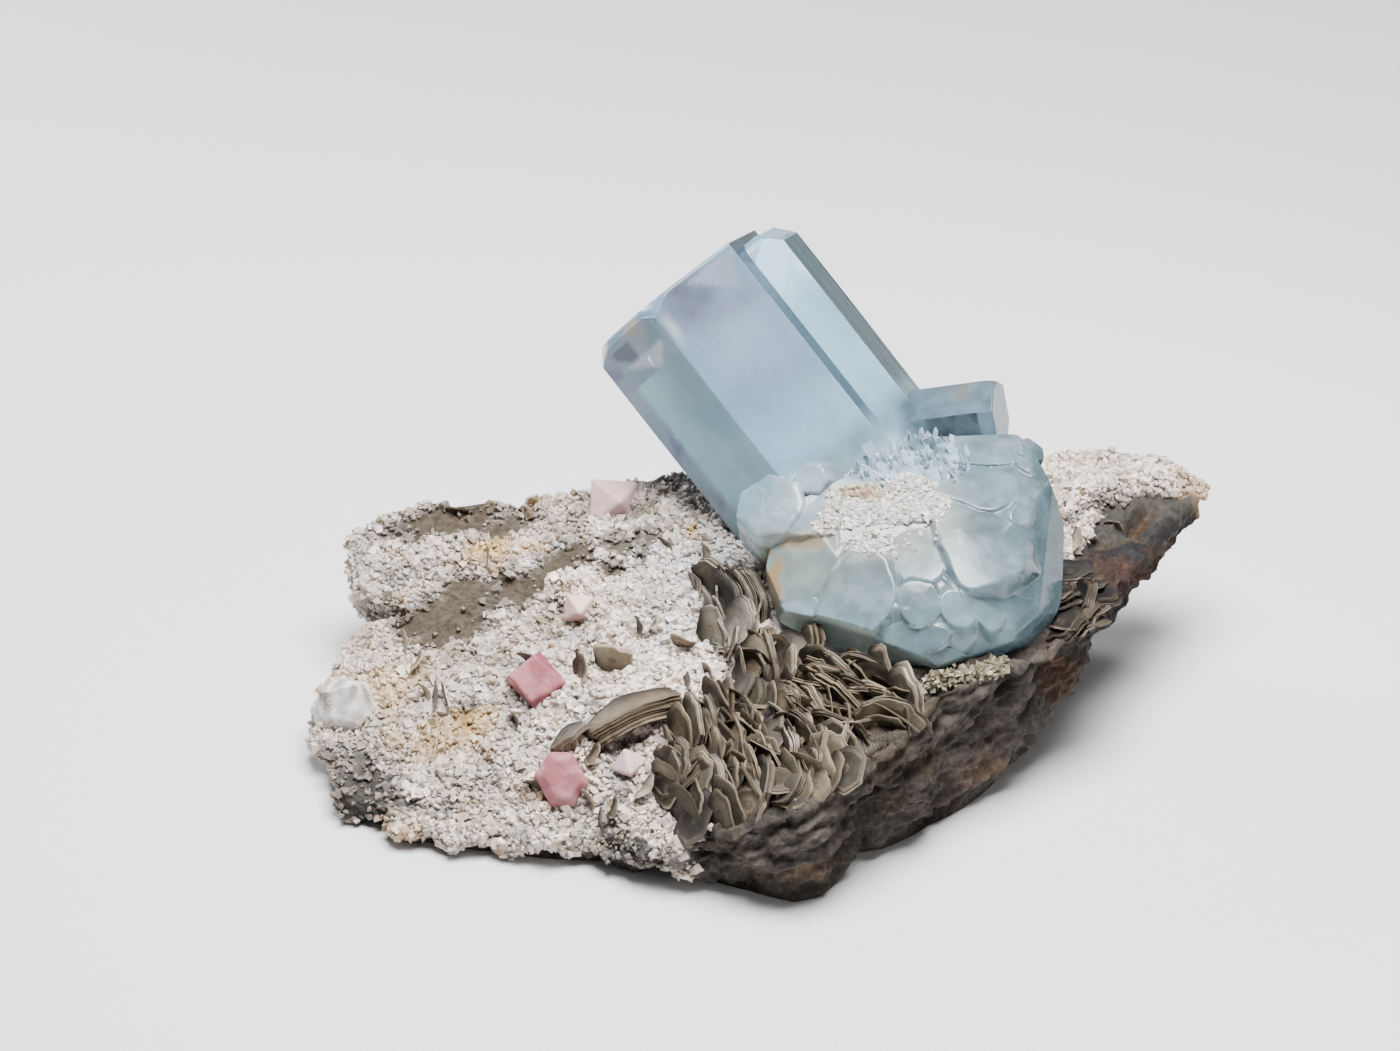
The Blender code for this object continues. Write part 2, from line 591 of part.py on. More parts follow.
def main():
    """Build every piece."""
    clear_scene()
    home = new_collection("aquamarine_specimen")
    cutters = new_collection("cutters")
    stone = {name: new_material(name) for name in MATERIALS}

    rock = add_piece("matrix_rock", rock_block(), home, stone["matrix_stone"])
    rock_clearance = add_cutter("rock_clearance", rock_block(GAP), cutters)
    gem_clearance = cutter_group("gem_clearance", aquamarine_blocks(GAP), cutters)

    blocks = aquamarine_blocks(0.0)
    gem = add_piece("aquamarine_crystal", blocks[0], home, stone["aquamarine"])
    boolean(gem, "UNION", cutter_group("gem_blocks", blocks[1:], cutters))
    boolean(gem, "DIFFERENCE", rock_clearance)

    mica = stone["mica"]
    micas = [
        mica_group("mica_rosette", ROSETTE_BOOKS, ROSETTE_FOOT, home, cutters, mica),
        mica_group("mica_fan", FAN_BOOKS, FAN_FOOT, home, cutters, mica),
        mica_group("mica_cluster_right", RIGHT_BOOKS, RIGHT_FOOT, home, cutters, mica),
    ]
    single_books = {
        "mica_long_book": (LONG_BOOK, LONG_BOOK_THICKNESS),
        "mica_small_book": (SMALL_BOOK, BOOK_THICKNESS),
        "mica_curl_left": (LEFT_CURL, BOOK_THICKNESS),
        "mica_curl_right": (RIGHT_CURL, BOOK_THICKNESS),
    }
    for name, (book, thickness) in single_books.items():
        micas.append(add_piece(name, book_block(book, thickness), home, mica))
    for piece in micas[:3]:
        boolean(piece, "DIFFERENCE", gem_clearance)

    small = [
        add_piece(name, octahedron_block(*values), home, stone["pink_crystal"])
        for name, values in PINK_OCTAHEDRA.items()
    ]
    small.append(add_piece("pink_crystal_upper", tablet_block(), home, stone["pink_crystal"]))
    small.append(add_piece("clear_crystal", clear_block(), home, stone["clear_crystal"]))
    for piece in micas + small:
        boolean(piece, "DIFFERENCE", rock_clearance)

    pieces = [rock, gem] + micas + small
    centre_over_origin(pieces, list(home.all_objects) + list(cutters.all_objects))


main()
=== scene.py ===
# %% [markdown]
# # An aquamarine specimen on its matrix
#
# The real thing is a hand-sized slab of grey rock crusted with sugary white albite.
# On it stand pale blue aquamarine crystals, a rosette of brown mica books and a few
# pink crystals.  The solids (sizes, places and what touches what) come from the frame;
# this file gives every piece its surface, grain and colour.
#
# All lengths below are millimetres in the working frame of the solids: +X right,
# +Y away from the front, +Z up.  One constant, `SHIFT`, takes them to the frame.

# %% Open the frame
import math

import bmesh
import bpy
import numpy as np
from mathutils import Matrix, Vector


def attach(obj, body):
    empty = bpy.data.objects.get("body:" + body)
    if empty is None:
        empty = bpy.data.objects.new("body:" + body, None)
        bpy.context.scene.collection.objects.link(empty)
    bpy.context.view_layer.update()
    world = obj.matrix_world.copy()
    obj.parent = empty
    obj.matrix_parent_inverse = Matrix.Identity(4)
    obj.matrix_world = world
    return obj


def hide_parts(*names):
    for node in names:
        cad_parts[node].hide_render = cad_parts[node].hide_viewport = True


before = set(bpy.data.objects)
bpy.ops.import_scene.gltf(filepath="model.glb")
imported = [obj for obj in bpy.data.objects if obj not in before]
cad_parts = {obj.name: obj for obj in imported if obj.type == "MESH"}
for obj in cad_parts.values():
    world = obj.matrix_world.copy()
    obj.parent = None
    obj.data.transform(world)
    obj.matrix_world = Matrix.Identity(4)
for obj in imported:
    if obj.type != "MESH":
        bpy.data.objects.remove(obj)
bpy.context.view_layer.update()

MM = 0.001
SHIFT = np.array((-11.38, 7.68, 0.0))
print("solids:", sorted(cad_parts))

# %% [markdown]
# ## The front as a drawing board
#
# A crystal cluster is easiest to set out the way a collector looks at it: face on,
# from 30 degrees above.  So most places are given as *across*, *rise* and *out* in
# a frame that is tilted back by 30 degrees, and one function turns them to X, Y, Z.

# %% The tilted drawing board
BOARD_ORIGIN = np.array((0.0, 0.0, 35.0))
BOARD_LIFT = math.radians(30.0)
ACROSS = np.array((1.0, 0.0, 0.0))
RISE = np.array((0.0, math.sin(BOARD_LIFT), math.cos(BOARD_LIFT)))
OUT = np.array((0.0, -math.cos(BOARD_LIFT), math.sin(BOARD_LIFT)))


def board(across, rise, out):
    """Working-frame points: origin + across * ACROSS + rise * RISE + out * OUT."""
    a, r, o = (np.asarray(part, float)[..., None] for part in (across, rise, out))
    return BOARD_ORIGIN + a * ACROSS + r * RISE + o * OUT


def unit(vectors):
    """Vectors divided by their length, along the last axis."""
    return vectors / np.linalg.norm(vectors, axis=-1, keepdims=True)


def heading(degrees):
    """Direction in the board's plane: cos * ACROSS + sin * RISE."""
    turn = np.radians(degrees)
    return np.cos(turn)[..., None] * ACROSS + np.sin(turn)[..., None] * RISE


def full_turn(count):
    """Angles of even steps round a full turn."""
    return np.linspace(0, 2 * math.pi, count, endpoint=False)


print("the board faces", OUT.round(2))

# %% [markdown]
# ## Three small tools
#
# Stone is irregular at every size, so nearly every surface adds some *value noise*:
# a repeatable number at each corner of a cubic lattice, blended smoothly between
# the corners.  Several layers, each finer and weaker, give broken rock.
#
# A surface is a grid of points.  `tube_faces` joins the grid into triangles, closed
# round one way and closed at both ends by a single pole point, so every shell is a
# watertight body.  `new_mesh` copies the arrays into a mesh in one go.

# %% Noise
def lattice(ix, iy, iz):
    """A repeatable number in 0..1 per lattice corner: the fraction of a large sine."""
    mix = np.sin(ix * 127.1 + iy * 311.7 + iz * 74.7) * 43758.5453
    return mix - np.floor(mix)


def noise(points, spacing):
    """Value noise in -1..1: the eight corner numbers blended by 3f^2 - 2f^3."""
    grid = np.asarray(points, float) / spacing
    cell = np.floor(grid)
    f = grid - cell
    w = f * f * (3.0 - 2 * f)
    total = np.zeros(grid.shape[:-1])
    for dx in (0, 1):
        for dy in (0, 1):
            for dz in (0, 1):
                part = np.where(dx, w[..., 0], 1 - w[..., 0])
                part = part * np.where(dy, w[..., 1], 1 - w[..., 1])
                part = part * np.where(dz, w[..., 2], 1 - w[..., 2])
                corner = lattice(cell[..., 0] + dx, cell[..., 1] + dy, cell[..., 2] + dz)
                total = total + part * corner
    return 2 * total - 1.0


def layered(points, spacing, layers, share=0.5):
    """Sum of noise layers, each at half the spacing and share times the strength."""
    total, strength = 0.0, 1.0
    for layer in range(layers):
        total = total + strength * noise(points + 17.3 * layer, spacing / 2**layer)
        strength *= share
    return total


def fade(low, high, value):
    """0 below low, 1 above high, 3t^2 - 2t^3 between."""
    t = np.clip((value - low) / (high - low), 0, 1)
    return t * t * (3.0 - 2 * t)


print("noise along a line:", noise(np.arange(15.0).reshape(5, 3), 4.0).round(2))

# %% Grids, meshes and pieces
def tube_faces(rows, columns):
    """Triangles of a rows x columns grid wrapped in columns, then a pole at each end.

    Poles are the two points after the grid: first the one before row 0, then the
    one after the last row.
    """
    index = np.arange(rows * columns).reshape(rows, columns)
    here, after = index[:-1], index[1:]
    a, b = here, np.roll(here, -1, axis=1)
    c, d = np.roll(after, -1, axis=1), after
    quads = np.stack((a, b, c, d), -1).reshape(-1, 4)
    first, last = index[0], index[-1]
    start = np.full(columns, rows * columns)
    fan_one = np.stack((start, np.roll(first, -1), first), -1)
    fan_two = np.stack((start + 1, last, np.roll(last, -1)), -1)
    split = np.concatenate((quads[:, (0, 1, 2)], quads[:, (0, 2, 3)]))
    return np.concatenate((split, fan_one, fan_two))


def new_mesh(name, points, faces):
    """A mesh in metres from millimetre points (n, 3) and faces (m, 3 or 4)."""
    mesh = bpy.data.meshes.new(name)
    sides = faces.shape[1]
    mesh.vertices.add(len(points))
    mesh.vertices.foreach_set("co", ((points + SHIFT) * MM).astype(np.float32).ravel())
    mesh.loops.add(faces.size)
    mesh.loops.foreach_set("vertex_index", faces.astype(np.int32).ravel())
    mesh.polygons.add(len(faces))
    mesh.polygons.foreach_set("loop_start", np.arange(0, faces.size, sides, dtype=np.int32))
    mesh.update(calc_edges=True)
    mesh.validate()
    return mesh


def placed(name, data):
    """An object in the scene for a mesh, light or camera."""
    made = bpy.data.objects.new(name, data)
    bpy.context.scene.collection.objects.link(made)
    return made


def add_piece(name, mesh, material, smooth=True):
    """An object of the specimen: rides on the one body and takes a finish slot."""
    mesh.materials.clear()
    mesh.materials.append(material)
    mesh.polygons.foreach_set("use_smooth", np.full(len(mesh.polygons), smooth))
    made = placed(name, mesh)
    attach(made, "root")
    print(name, len(mesh.polygons), "faces")
    return made


def paint(mesh, name, values, domain="POINT"):
    """Store a number or colour per vertex (or face corner) as a colour attribute."""
    values = np.asarray(values, np.float32)
    if values.ndim == 1:
        values = np.repeat(values[:, None], 3, axis=1)
    colour = np.ones((len(values), 4), np.float32)
    colour[:, :3] = values[:, :3]
    layer = mesh.color_attributes.new(name, "FLOAT_COLOR", domain)
    layer.data.foreach_set("color", colour.ravel())


print("a tube of 3 x 4 points has", len(tube_faces(3, 4)), "faces")

# %% [markdown]
# ## Matrix rock: shape
#
# The slab is broken grey rock: a flat foot, a rough side wall, an uneven rim and a
# gently cambered top.  A sculpted mesh or a displaced sphere would do, but a formula
# keeps it in step with the solid: the same outline table gives foot radius, rim
# radius and rim height by direction, and the noise below adds what the solid is too
# coarse to hold.  The top is set a little low, because albite grains build it back up.

# %% Rock outline and skin
ROCK_CENTRE = (12.0, -16.0)
ROCK_CROWN = 27.0
ROCK_SLOPE = (0.09, 0.17)
ROCK_CAMBER = 0.0016
ROCK_EDGE_POWER = 3.0
ROCK_BULGE = 1.6
ROCK_RELIEF = 1.1
ROCK_LUMP = 11.0
CRUST_DEPTH = 0.9
ROCK_OUTLINE = np.array((
    (0, 41, 52, 26), (8, 41, 57, 27), (17, 45, 66, 28), (24, 51, 77, 29),
    (28, 56, 86, 29), (33, 60, 82, 32), (38, 58, 73, 33), (44, 52, 63, 32),
    (60, 44, 50, 32), (80, 36, 42, 32), (93, 34, 40, 32), (111, 36, 44, 31),
    (126, 43, 50, 29), (139, 50, 57, 27), (146, 62, 71, 26), (150, 69, 78, 24),
    (154, 72, 81, 21), (158, 70, 76, 18), (163, 60, 63, 17), (168, 68, 72, 14),
    (175, 70, 73, 11), (179, 74, 76, 9), (185, 72, 73.5, 7), (195, 70, 71.5, 5),
    (203, 64, 66, 5), (213, 53, 55, 5), (228, 42, 45, 6), (240, 38, 44, 8),
    (253, 38, 42.5, 11), (264, 40, 44, 14), (274, 43, 45.5, 18), (280, 42, 44, 20),
    (287, 37, 41, 22), (294, 32, 39, 23), (302, 33, 37, 24), (320, 33, 34, 25),
    (338, 36, 39, 26), (348, 38, 47, 26),
))


def rock_skin(turn, level):
    """The solid's own skin: level 0 foot, 1 rim, 2 middle of the top."""
    foot, rim, rim_z = (
        np.interp(turn, ROCK_OUTLINE[:, 0], ROCK_OUTLINE[:, column], period=360)
        for column in (1, 2, 3)
    )
    wall = np.clip(level, 0, 1)
    inward = np.clip(2.0 - level, 0, 1)
    radius = foot + (rim - foot) * wall + ROCK_BULGE * np.sin(math.pi * wall) ** 2
    radius = np.where(level > 1.0, rim * inward, radius)
    angle = np.radians(turn)
    dx, dy = radius * np.cos(angle), radius * np.sin(angle)
    slope = ROCK_CROWN + ROCK_SLOPE[0] * dx + ROCK_SLOPE[1] * dy - ROCK_CAMBER * dx * dx
    edge = inward**ROCK_EDGE_POWER
    top_z = rim_z * edge + slope * (1 - edge)
    height = np.where(level > 1.0, top_z, rim_z * wall)
    place = np.stack((ROCK_CENTRE[0] + dx, ROCK_CENTRE[1] + dy, height), -1)
    bump = ROCK_RELIEF * noise(place, ROCK_LUMP) * np.clip(3.0 * level, 0, 1)
    on_top = np.clip(level - 0.7, 0.0, 0.6) / 0.6
    aside = np.stack((np.cos(angle), np.sin(angle), 0.0 * angle), -1)
    place = place + (bump * (1 - on_top))[..., None] * aside
    place[..., 2] += bump * on_top
    return place


def rock_height(x, y):
    """Height of the solid's top at plan places."""
    dx, dy = np.asarray(x) - ROCK_CENTRE[0], np.asarray(y) - ROCK_CENTRE[1]
    turn = np.degrees(np.arctan2(dy, dx)) % 360.0
    rim = np.interp(turn, ROCK_OUTLINE[:, 0], ROCK_OUTLINE[:, 2], period=360)
    level = 2.0 - np.minimum(1.0, np.hypot(dx, dy) / rim)
    return rock_skin(turn, level)[..., 2]


print("height over the middle:", rock_height(*ROCK_CENTRE).round(1), "mm")

# %% [markdown]
# Broken rock is not just bumpy: it has ledges, hollows and sharp little ridges.  The
# wall gets *ridged* noise (one minus the size of the noise, so its zero lines stand up
# as edges) on top of the plain layers, and a few listed hollows.  Everything is
# pushed along the skin's own normal, found from the grid's two directions.

# %% Where the front broke away
# the crust's lower limit on the board: across, rise
BROKEN_LINE = np.array((
    (34, -30), (41, -24), (46, -20), (52, -13.5), (57, -9.5), (60.5, -6.5),
    (62.7, -4.3), (65.4, -1.6), (67.6, 1), (69.8, 3), (71.9, 4.9), (76.8, 5.9),
    (81.1, 5.2), (85.5, 6.4),
))


def broken_away(points, soft=0.7):
    """1 on the front right, below the line where the crust ends, 0 above it."""
    away = points - BOARD_ORIGIN
    across, rise = away @ ACROSS, away @ RISE
    line = np.interp(across, BROKEN_LINE[:, 0], BROKEN_LINE[:, 1])
    gap = line - rise + 1.1 * layered(points, 4.0, 3, 0.6)
    return fade(-soft, soft, gap) * fade(36, 40, across)


def broken_side(turn):
    """1 in the directions where the rim broke off, at the front right."""
    return fade(254, 262, turn) * (1 - fade(344, 354, turn))


broken_steps = np.linalg.norm(np.diff(BROKEN_LINE, axis=0), axis=1)
print("broken edge:", broken_steps.sum().round(1), "mm long")

# %% Matrix rock mesh
ROCK_ROWS_WALL, ROCK_ROWS_TOP, ROCK_COLUMNS = 76, 92, 370
BEDDING = unit(np.array((1.0, 0.42, 0.34)))


def grid_normals(points):
    """Unit normals of a wrapped grid: cross product of its two central differences."""
    along = np.gradient(points, axis=0)
    around = np.roll(points, -1, axis=1) - np.roll(points, 1, axis=1)
    return unit(np.cross(around, along) + 1e-9)


def rock_grid():
    """Rows run from the foot up the wall, over the rim and in to the middle."""
    level = np.concatenate((
        np.linspace(0.0, 1.0, ROCK_ROWS_WALL, endpoint=False),
        np.linspace(1.0, 1.995, ROCK_ROWS_TOP),
    ))
    turn = np.linspace(0.0, 360.0, ROCK_COLUMNS, endpoint=False)
    turn, level = np.meshgrid(turn, level)
    skin = rock_skin(turn, level)
    normals = grid_normals(skin)
    broken = broken_side(turn)
    wall = 1 - fade(0.93 + 0.28 * broken, 1.06 + 0.34 * broken, level)
    wall = np.maximum(wall, broken_away(skin) * fade(1.5, 1.2, level))
    along = (skin @ BEDDING)[..., None] * BEDDING
    bedded = skin - 0.72 * along
    beds = 1 - 2 * np.abs(layered(bedded, 4.2, 3, 0.6))
    ridges = 1 - 2 * np.abs(layered(skin * (1, 1, 1.5), 13.0, 4, 0.55))
    ledges = 1 - 2 * np.abs(layered(skin * (0.6, 0.6, 1.8), 5.0, 3, 0.6))
    rough = 1.6 * ridges + 0.5 * ledges + 1.0 * beds + 0.4 * layered(skin, 1.5, 3, 0.6)
    crust = 1.0 * layered(skin, 5.0, 3, 0.6) + 0.45 * noise(skin, 1.3)
    push = wall * (rough - 0.9) + (1 - wall) * (crust - CRUST_DEPTH)
    for centre, radius, depth in ROCK_HOLLOWS:
        away = np.linalg.norm((skin - centre) / radius, axis=-1)
        push = push - depth * np.exp(-away * away * 2.0)
    push = push * fade(0.0, 0.12, level)
    skin = skin + normals * push[..., None]
    return skin, level


# middle, radii, depth of the larger hollows and ledges of the side wall
ROCK_HOLLOWS = (
    ((28, -50, 12), (9, 7, 6), 3.4), ((40, -36, 9), (8, 8, 5), 2.6),
    ((47, -27, 16), (5, 6, 7), 1.8), ((66, -2, 20), (8, 8, 6), 2.2),
    ((12, -58, 6), (8, 5, 4), 1.8), ((-30, -46, 3), (9, 4, 3), 1.2),
)
rock_points, rock_level = rock_grid()
rock_top_pole = rock_points[-1].mean(axis=0)
rock_foot_pole = np.array((ROCK_CENTRE[0], ROCK_CENTRE[1], 0.0))
rock_vertices = np.concatenate((
    rock_points.reshape(-1, 3), rock_foot_pole[None], rock_top_pole[None],
))
rock_vertices[:, 2] = np.maximum(rock_vertices[:, 2], 0.0)
rock_mesh = new_mesh("rock_body", rock_vertices, tube_faces(*rock_points.shape[:2]))
print("rock", len(rock_vertices), "points, box", np.ptp(rock_vertices, axis=0).round(1))

# %% [markdown]
# ## Matrix rock: colour
#
# The colour of natural stone follows what grew where: white crust on the top, bare
# grey rock on the broken side, brown schist showing through, rust where water ran,
# and yellow stains.  Image textures would be stuck to one view, so each stain is an
# ellipsoid in space whose edge is bent by noise.  The result is stored per vertex,
# and the material adds the fine grain on top of it.

# %% Stains as warped ellipsoids
ALBITE = np.array((0.7, 0.615, 0.56))
CRUST_BED = np.array((0.37, 0.345, 0.33))
GREY_ROCK = np.array((0.036, 0.03, 0.025))
# colour, then (middle, radii, strength) of each blot
STAINS = {
    "schist": ((0.052, 0.04, 0.028), (
        ((-42, 19, 25), (15, 5.5, 7), 1.0), ((-32, 18.5, 26), (7, 5, 6), 0.8),
        ((-42, 0.5, 18), (9, 7, 7), 1.0), ((-31, 2.5, 22), (10, 6, 7), 1.0),
        ((-20, 5, 26), (10, 5.5, 7), 1.0), ((-12, 6.5, 28), (8, 4.6, 6), 0.9),
        ((-6, 21.5, 30), (4, 3, 4), 0.4),
    )),
    "dirt": ((0.24, 0.205, 0.155), (
        ((-53, -26, 9), (9, 9, 8), 0.35), ((-45, -33, 7), (8, 6, 6), 0.3),
        ((-57, -14, 11), (5, 7, 6), 0.3), ((-24, -44, 7), (9, 4, 6), 0.25),
        ((-38, -12, 15), (7, 4, 5), 0.3), ((-14, 17, 27), (9, 4, 5), 0.5),
    )),
    # near-black blots: mostly low on the walls by the foot, two thin ones on the left wall,
    # two on the right arm
    "near_black": ((0.034, 0.031, 0.026), (
        ((-55, -36, 5), (8, 8, 6), 1.0), ((-46, -39, 3), (7, 4, 4), 0.8),
        ((-9, -53, 5), (8, 5, 5), 0.9), ((-38, -24, 13.5), (1.3, 4.2, 3), 0.9),
        ((-38.5, -25, 12.5), (1.6, 3.4, 3), 0.8), ((-59, -28, 4), (4, 6, 4), 0.7),
        ((77, 14, 30), (11, 5.5, 4.5), 0.95), ((70, 8, 30), (8, 6, 5), 0.85),
        ((2, -55, 6), (9, 4, 4), 0.45),
    )),
    # dark beds under the mica books: partly their dark base, partly painted shade for the gaps
    # between them
    "mica bed and shade": ((0.04, 0.031, 0.022), (
        ((15, -43, 20), (21.5, 14.5, 14), 1.0), ((6, -12, 27), (5, 8, 6), 0.8),
        ((13, -28, 26), (8, 4, 7), 0.9),
        ((61, -11, 26), (6, 7, 7), 0.9),
    )),
    "yellow": ((0.46, 0.29, 0.1), (
        ((-36, 12.4, 24), (4.5, 2.6, 4), 0.9), ((-1.4, 8.8, 29.6), (1.3, 1.2, 3), 1.0),
        ((-41, -27.5, 11.5), (7, 5, 5), 0.45), ((-52, -12, 12.5), (5, 5, 5), 0.5),
        ((-35, -26, 13.5), (3, 3, 4), 0.5), ((-29, 10, 24.5), (4, 2, 4), 0.5),
    )),
    "rust": ((0.036, 0.018, 0.009), (
        ((73, 3.5, 24.5), (6.5, 6, 5), 0.95), ((62, -15, 14), (5, 6, 7), 0.9),
        ((57, -24, 21), (4, 4, 5), 0.95), ((70, -4, 27), (6, 6, 5), 0.6),
        ((49.5, -26, 5), (2.0, 2.4, 3), 0.9), ((47, -30, 12), (1.6, 2.0, 4), 0.7),
        ((78, 7, 23), (11, 9, 7), 0.85),
    )),
    "tan": ((0.3, 0.2, 0.125), (
        ((87, 23.5, 29), (4.5, 5, 4), 0.8), ((45, -31, 7), (6, 5, 3), 0.22),
        ((14, -57, 7), (7, 4, 4), 0.22), ((-57, -2, 15), (3, 4, 4), 0.5),
    )),
}


print("stains:", ", ".join(STAINS))

# %% The rock's tone
def blot(points, spots):
    """How strongly the blots cover each point: 1 - product of (1 - each blot)."""
    warp = 0.55 * layered(points, 5.0, 3, 0.6)
    bare = np.ones(len(points))
    for middle, radii, strength in spots:
        away = np.linalg.norm((points - middle) / radii, axis=-1) + warp
        bare = bare * (1 - strength * (1 - fade(0.7, 1.25, away)))
    return 1 - bare


def crust_cover(turn, level, points):
    """1 where albite grew: the top, and the low front-left side down to its foot.

    The front right edge broke away, so there the crust starts far in from the rim.
    """
    ragged = 0.12 * layered(points, 5.0, 3)
    broken = broken_side(turn)
    edge = 0.98 + 0.36 * broken
    top = fade(edge - 0.05, edge + 0.05, level + ragged * (1 + broken))
    left = fade(130, 146, turn) * (1 - fade(240, 256, turn))
    cover = np.maximum(top, left * fade(0.25, 0.55, level + 2 * ragged))
    return cover * (1 - broken_away(points))


def stained(points, colour):
    """Colours with every stain laid over them in turn."""
    for tint, spots in STAINS.values():
        cover = blot(points, spots)[:, None]
        colour = colour * (1 - cover) + np.array(tint) * cover
    return colour


rock_turn = np.tile(np.linspace(0, 360, ROCK_COLUMNS, endpoint=False), len(rock_level))
rock_cover = np.append(
    crust_cover(rock_turn, rock_level.ravel(), rock_points.reshape(-1, 3)), (0.0, 1.0),
)
wall_shade = 1 + 0.45 * layered(rock_vertices, 9.0, 4, 0.6)
rock_tone = GREY_ROCK * np.clip(wall_shade, 0.35, 1.9)[:, None]
lilac_rock = fade(0.1, 0.9, layered(rock_vertices + 40.0, 12.0, 3))[:, None]
rock_tone = rock_tone * (1 + lilac_rock * np.array((0.85, 0.72, 0.76)))
# painted shade: the broken arm at the front right is painted darker
shaded_arm = broken_away(rock_vertices) * fade(60, 68, rock_vertices[:, 0])
rock_tone = rock_tone * (1 - 0.8 * shaded_arm)[:, None]
rock_tone = rock_tone * (1 - rock_cover[:, None]) + CRUST_BED * rock_cover[:, None]
rock_tone = np.clip(stained(rock_vertices, rock_tone), 0.01, 0.9)
paint(rock_mesh, "tone", rock_tone)
print("crust covers", round(float(rock_cover.mean()), 2), "of the rock's points")

# %% [markdown]
# The shader reads the painted tone and breaks it up at the scale of mineral grains:
# one fine noise varies the colour and the roughness and gives a small bump.

# %% Shader helpers
def finish(name, colour=(0.8, 0.8, 0.8), **values):
    """A material, its Principled shader, and its node tree.

    Values are inputs of the shader by name, with _ for a space.
    """
    made = bpy.data.materials.new(name)
    made.use_nodes = True
    shader = made.node_tree.nodes["Principled BSDF"]
    shader.inputs["Base Color"].default_value = (*colour, 1.0)
    for key, value in values.items():
        shader.inputs[key.replace("_", " ")].default_value = value
    return made, shader, made.node_tree


def fill(tree, made, inputs):
    """Set a node's inputs, each to a value or to the output that feeds it."""
    for key, value in inputs.items():
        if isinstance(value, bpy.types.NodeSocket):
            tree.links.new(value, made.inputs[key])
        else:
            made.inputs[key].default_value = value


def node(tree, kind, inputs, output, **settings):
    """Add a shader node with its settings and inputs; returns one output."""
    made = tree.nodes.new("ShaderNode" + kind)
    for key, value in settings.items():
        setattr(made, key, value)
    fill(tree, made, inputs)
    return made.outputs[output]


def painted(tree, name):
    """The colour attribute of this name."""
    return node(tree, "VertexColor", {}, "Color", layer_name=name)


def ramp_between(tree, source, low, high, low_out, high_out):
    """Map Range from low..high to low_out..high_out, clamped."""
    return node(tree, "MapRange", {
        "Value": source, "From Min": low, "From Max": high,
        "To Min": low_out, "To Max": high_out,
    }, "Result")


def times(tree, colour, factor):
    """A colour multiplied by a grey factor."""
    inputs = {0: colour, "Scale": factor}
    return node(tree, "VectorMath", inputs, "Vector", operation="SCALE")


def plus(tree, first, second):
    """The sum of two numbers."""
    return node(tree, "Math", {0: first, 1: second}, "Value", operation="ADD")


def object_noise(tree, per_metre, detail):
    """Noise on Object coordinates."""
    place = node(tree, "TexCoord", {}, "Object")
    inputs = {"Vector": place, "Scale": per_metre, "Detail": detail, "Roughness": 0.6}
    return node(tree, "TexNoise", inputs, "Fac")


def bumped(tree, shader, height, strength, distance):
    """Feed a height to the shader's normal."""
    inputs = {"Strength": strength, "Distance": distance, "Height": height}
    fill(tree, shader, {"Normal": node(tree, "Bump", inputs, "Normal")})

# %% Rock finish
def tone_finish(name, low, high, scale, roughness, bump, **values):
    """A finish whose colour is the painted tone broken up by fine noise."""
    made, shader, tree = finish(name, **values)
    tone = painted(tree, "tone")
    fine = object_noise(tree, scale, 6.0)
    factor = ramp_between(tree, fine, 0.3, 0.7, low, high)
    fill(tree, shader, {
        "Base Color": times(tree, tone, factor),
        "Roughness": ramp_between(tree, fine, 0.35, 0.65, *roughness),
    })
    bumped(tree, shader, fine, *bump)
    return made


rock_finish = tone_finish(
    "rock_finish", 0.62, 1.38, 900.0, (0.95, 0.55), (0.7, 0.0008),
    Specular_IOR_Level=0.18,
)
rock = add_piece("rock_body", rock_mesh, rock_finish)
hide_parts("matrix_rock")

# %% [markdown]
# ## Albite crust
#
# The white crust is thousands of blunt albite crystals, most under a millimetre.
# A bump map would look like icing; what makes it read as crystals is that every
# grain catches light on its own side and throws its own small shadow.  So each is a
# tapered block or a sliver of a dozen triangles or fewer, and the worn slivers are
# shaded smooth.  They are scattered by area, with random turns, and joined in arrays.
# A little light scatters below their skin.

# %% Scatter of places on the rock
chance = np.random.default_rng(20)


def scatter(count, weight):
    """Random points on the rock, drawn by triangle area times vertex weight.

    Returns the places and the unit normals of their triangles.
    """
    faces = tube_faces(*rock_points.shape[:2])
    corners = rock_vertices[faces]
    across = np.cross(corners[:, 1] - corners[:, 0], corners[:, 2] - corners[:, 0])
    area = np.linalg.norm(across, axis=1) + 1e-12
    share = area * weight[faces].mean(axis=1)
    picked = chance.choice(len(faces), count, p=share / share.sum())
    u, v = chance.random((2, count, 1))
    flip = u + v > 1.0
    u, v = np.where(flip, 1 - u, u), np.where(flip, 1 - v, v)
    a, b, c = (corners[picked, side] for side in range(3))
    return a + u * (b - a) + v * (c - a), unit(across[picked])


def random_turns(count):
    """Rotation matrices from random unit quaternions."""
    w, x, y, z = unit(chance.normal(size=(count, 4))).T
    rows = (
        (1 - 2 * (y * y + z * z), 2 * (x * y - z * w), 2 * (x * z + y * w)),
        (2 * (x * y + z * w), 1 - 2 * (x * x + z * z), 2 * (y * z - x * w)),
        (2 * (x * z - y * w), 2 * (y * z + x * w), 1 - 2 * (x * x + y * y)),
    )
    return np.stack([np.stack(row, -1) for row in rows], -2)


BLOCK = np.array([(x, y, z) for z in (-1, 1) for y in (-1, 1) for x in (-1, 1)], float)
BLOCK_FACES = np.array((
    (0, 2, 3), (0, 3, 1), (4, 5, 7), (4, 7, 6), (0, 1, 5), (0, 5, 4),
    (2, 6, 7), (2, 7, 3), (0, 4, 6), (0, 6, 2), (1, 3, 7), (1, 7, 5),
))
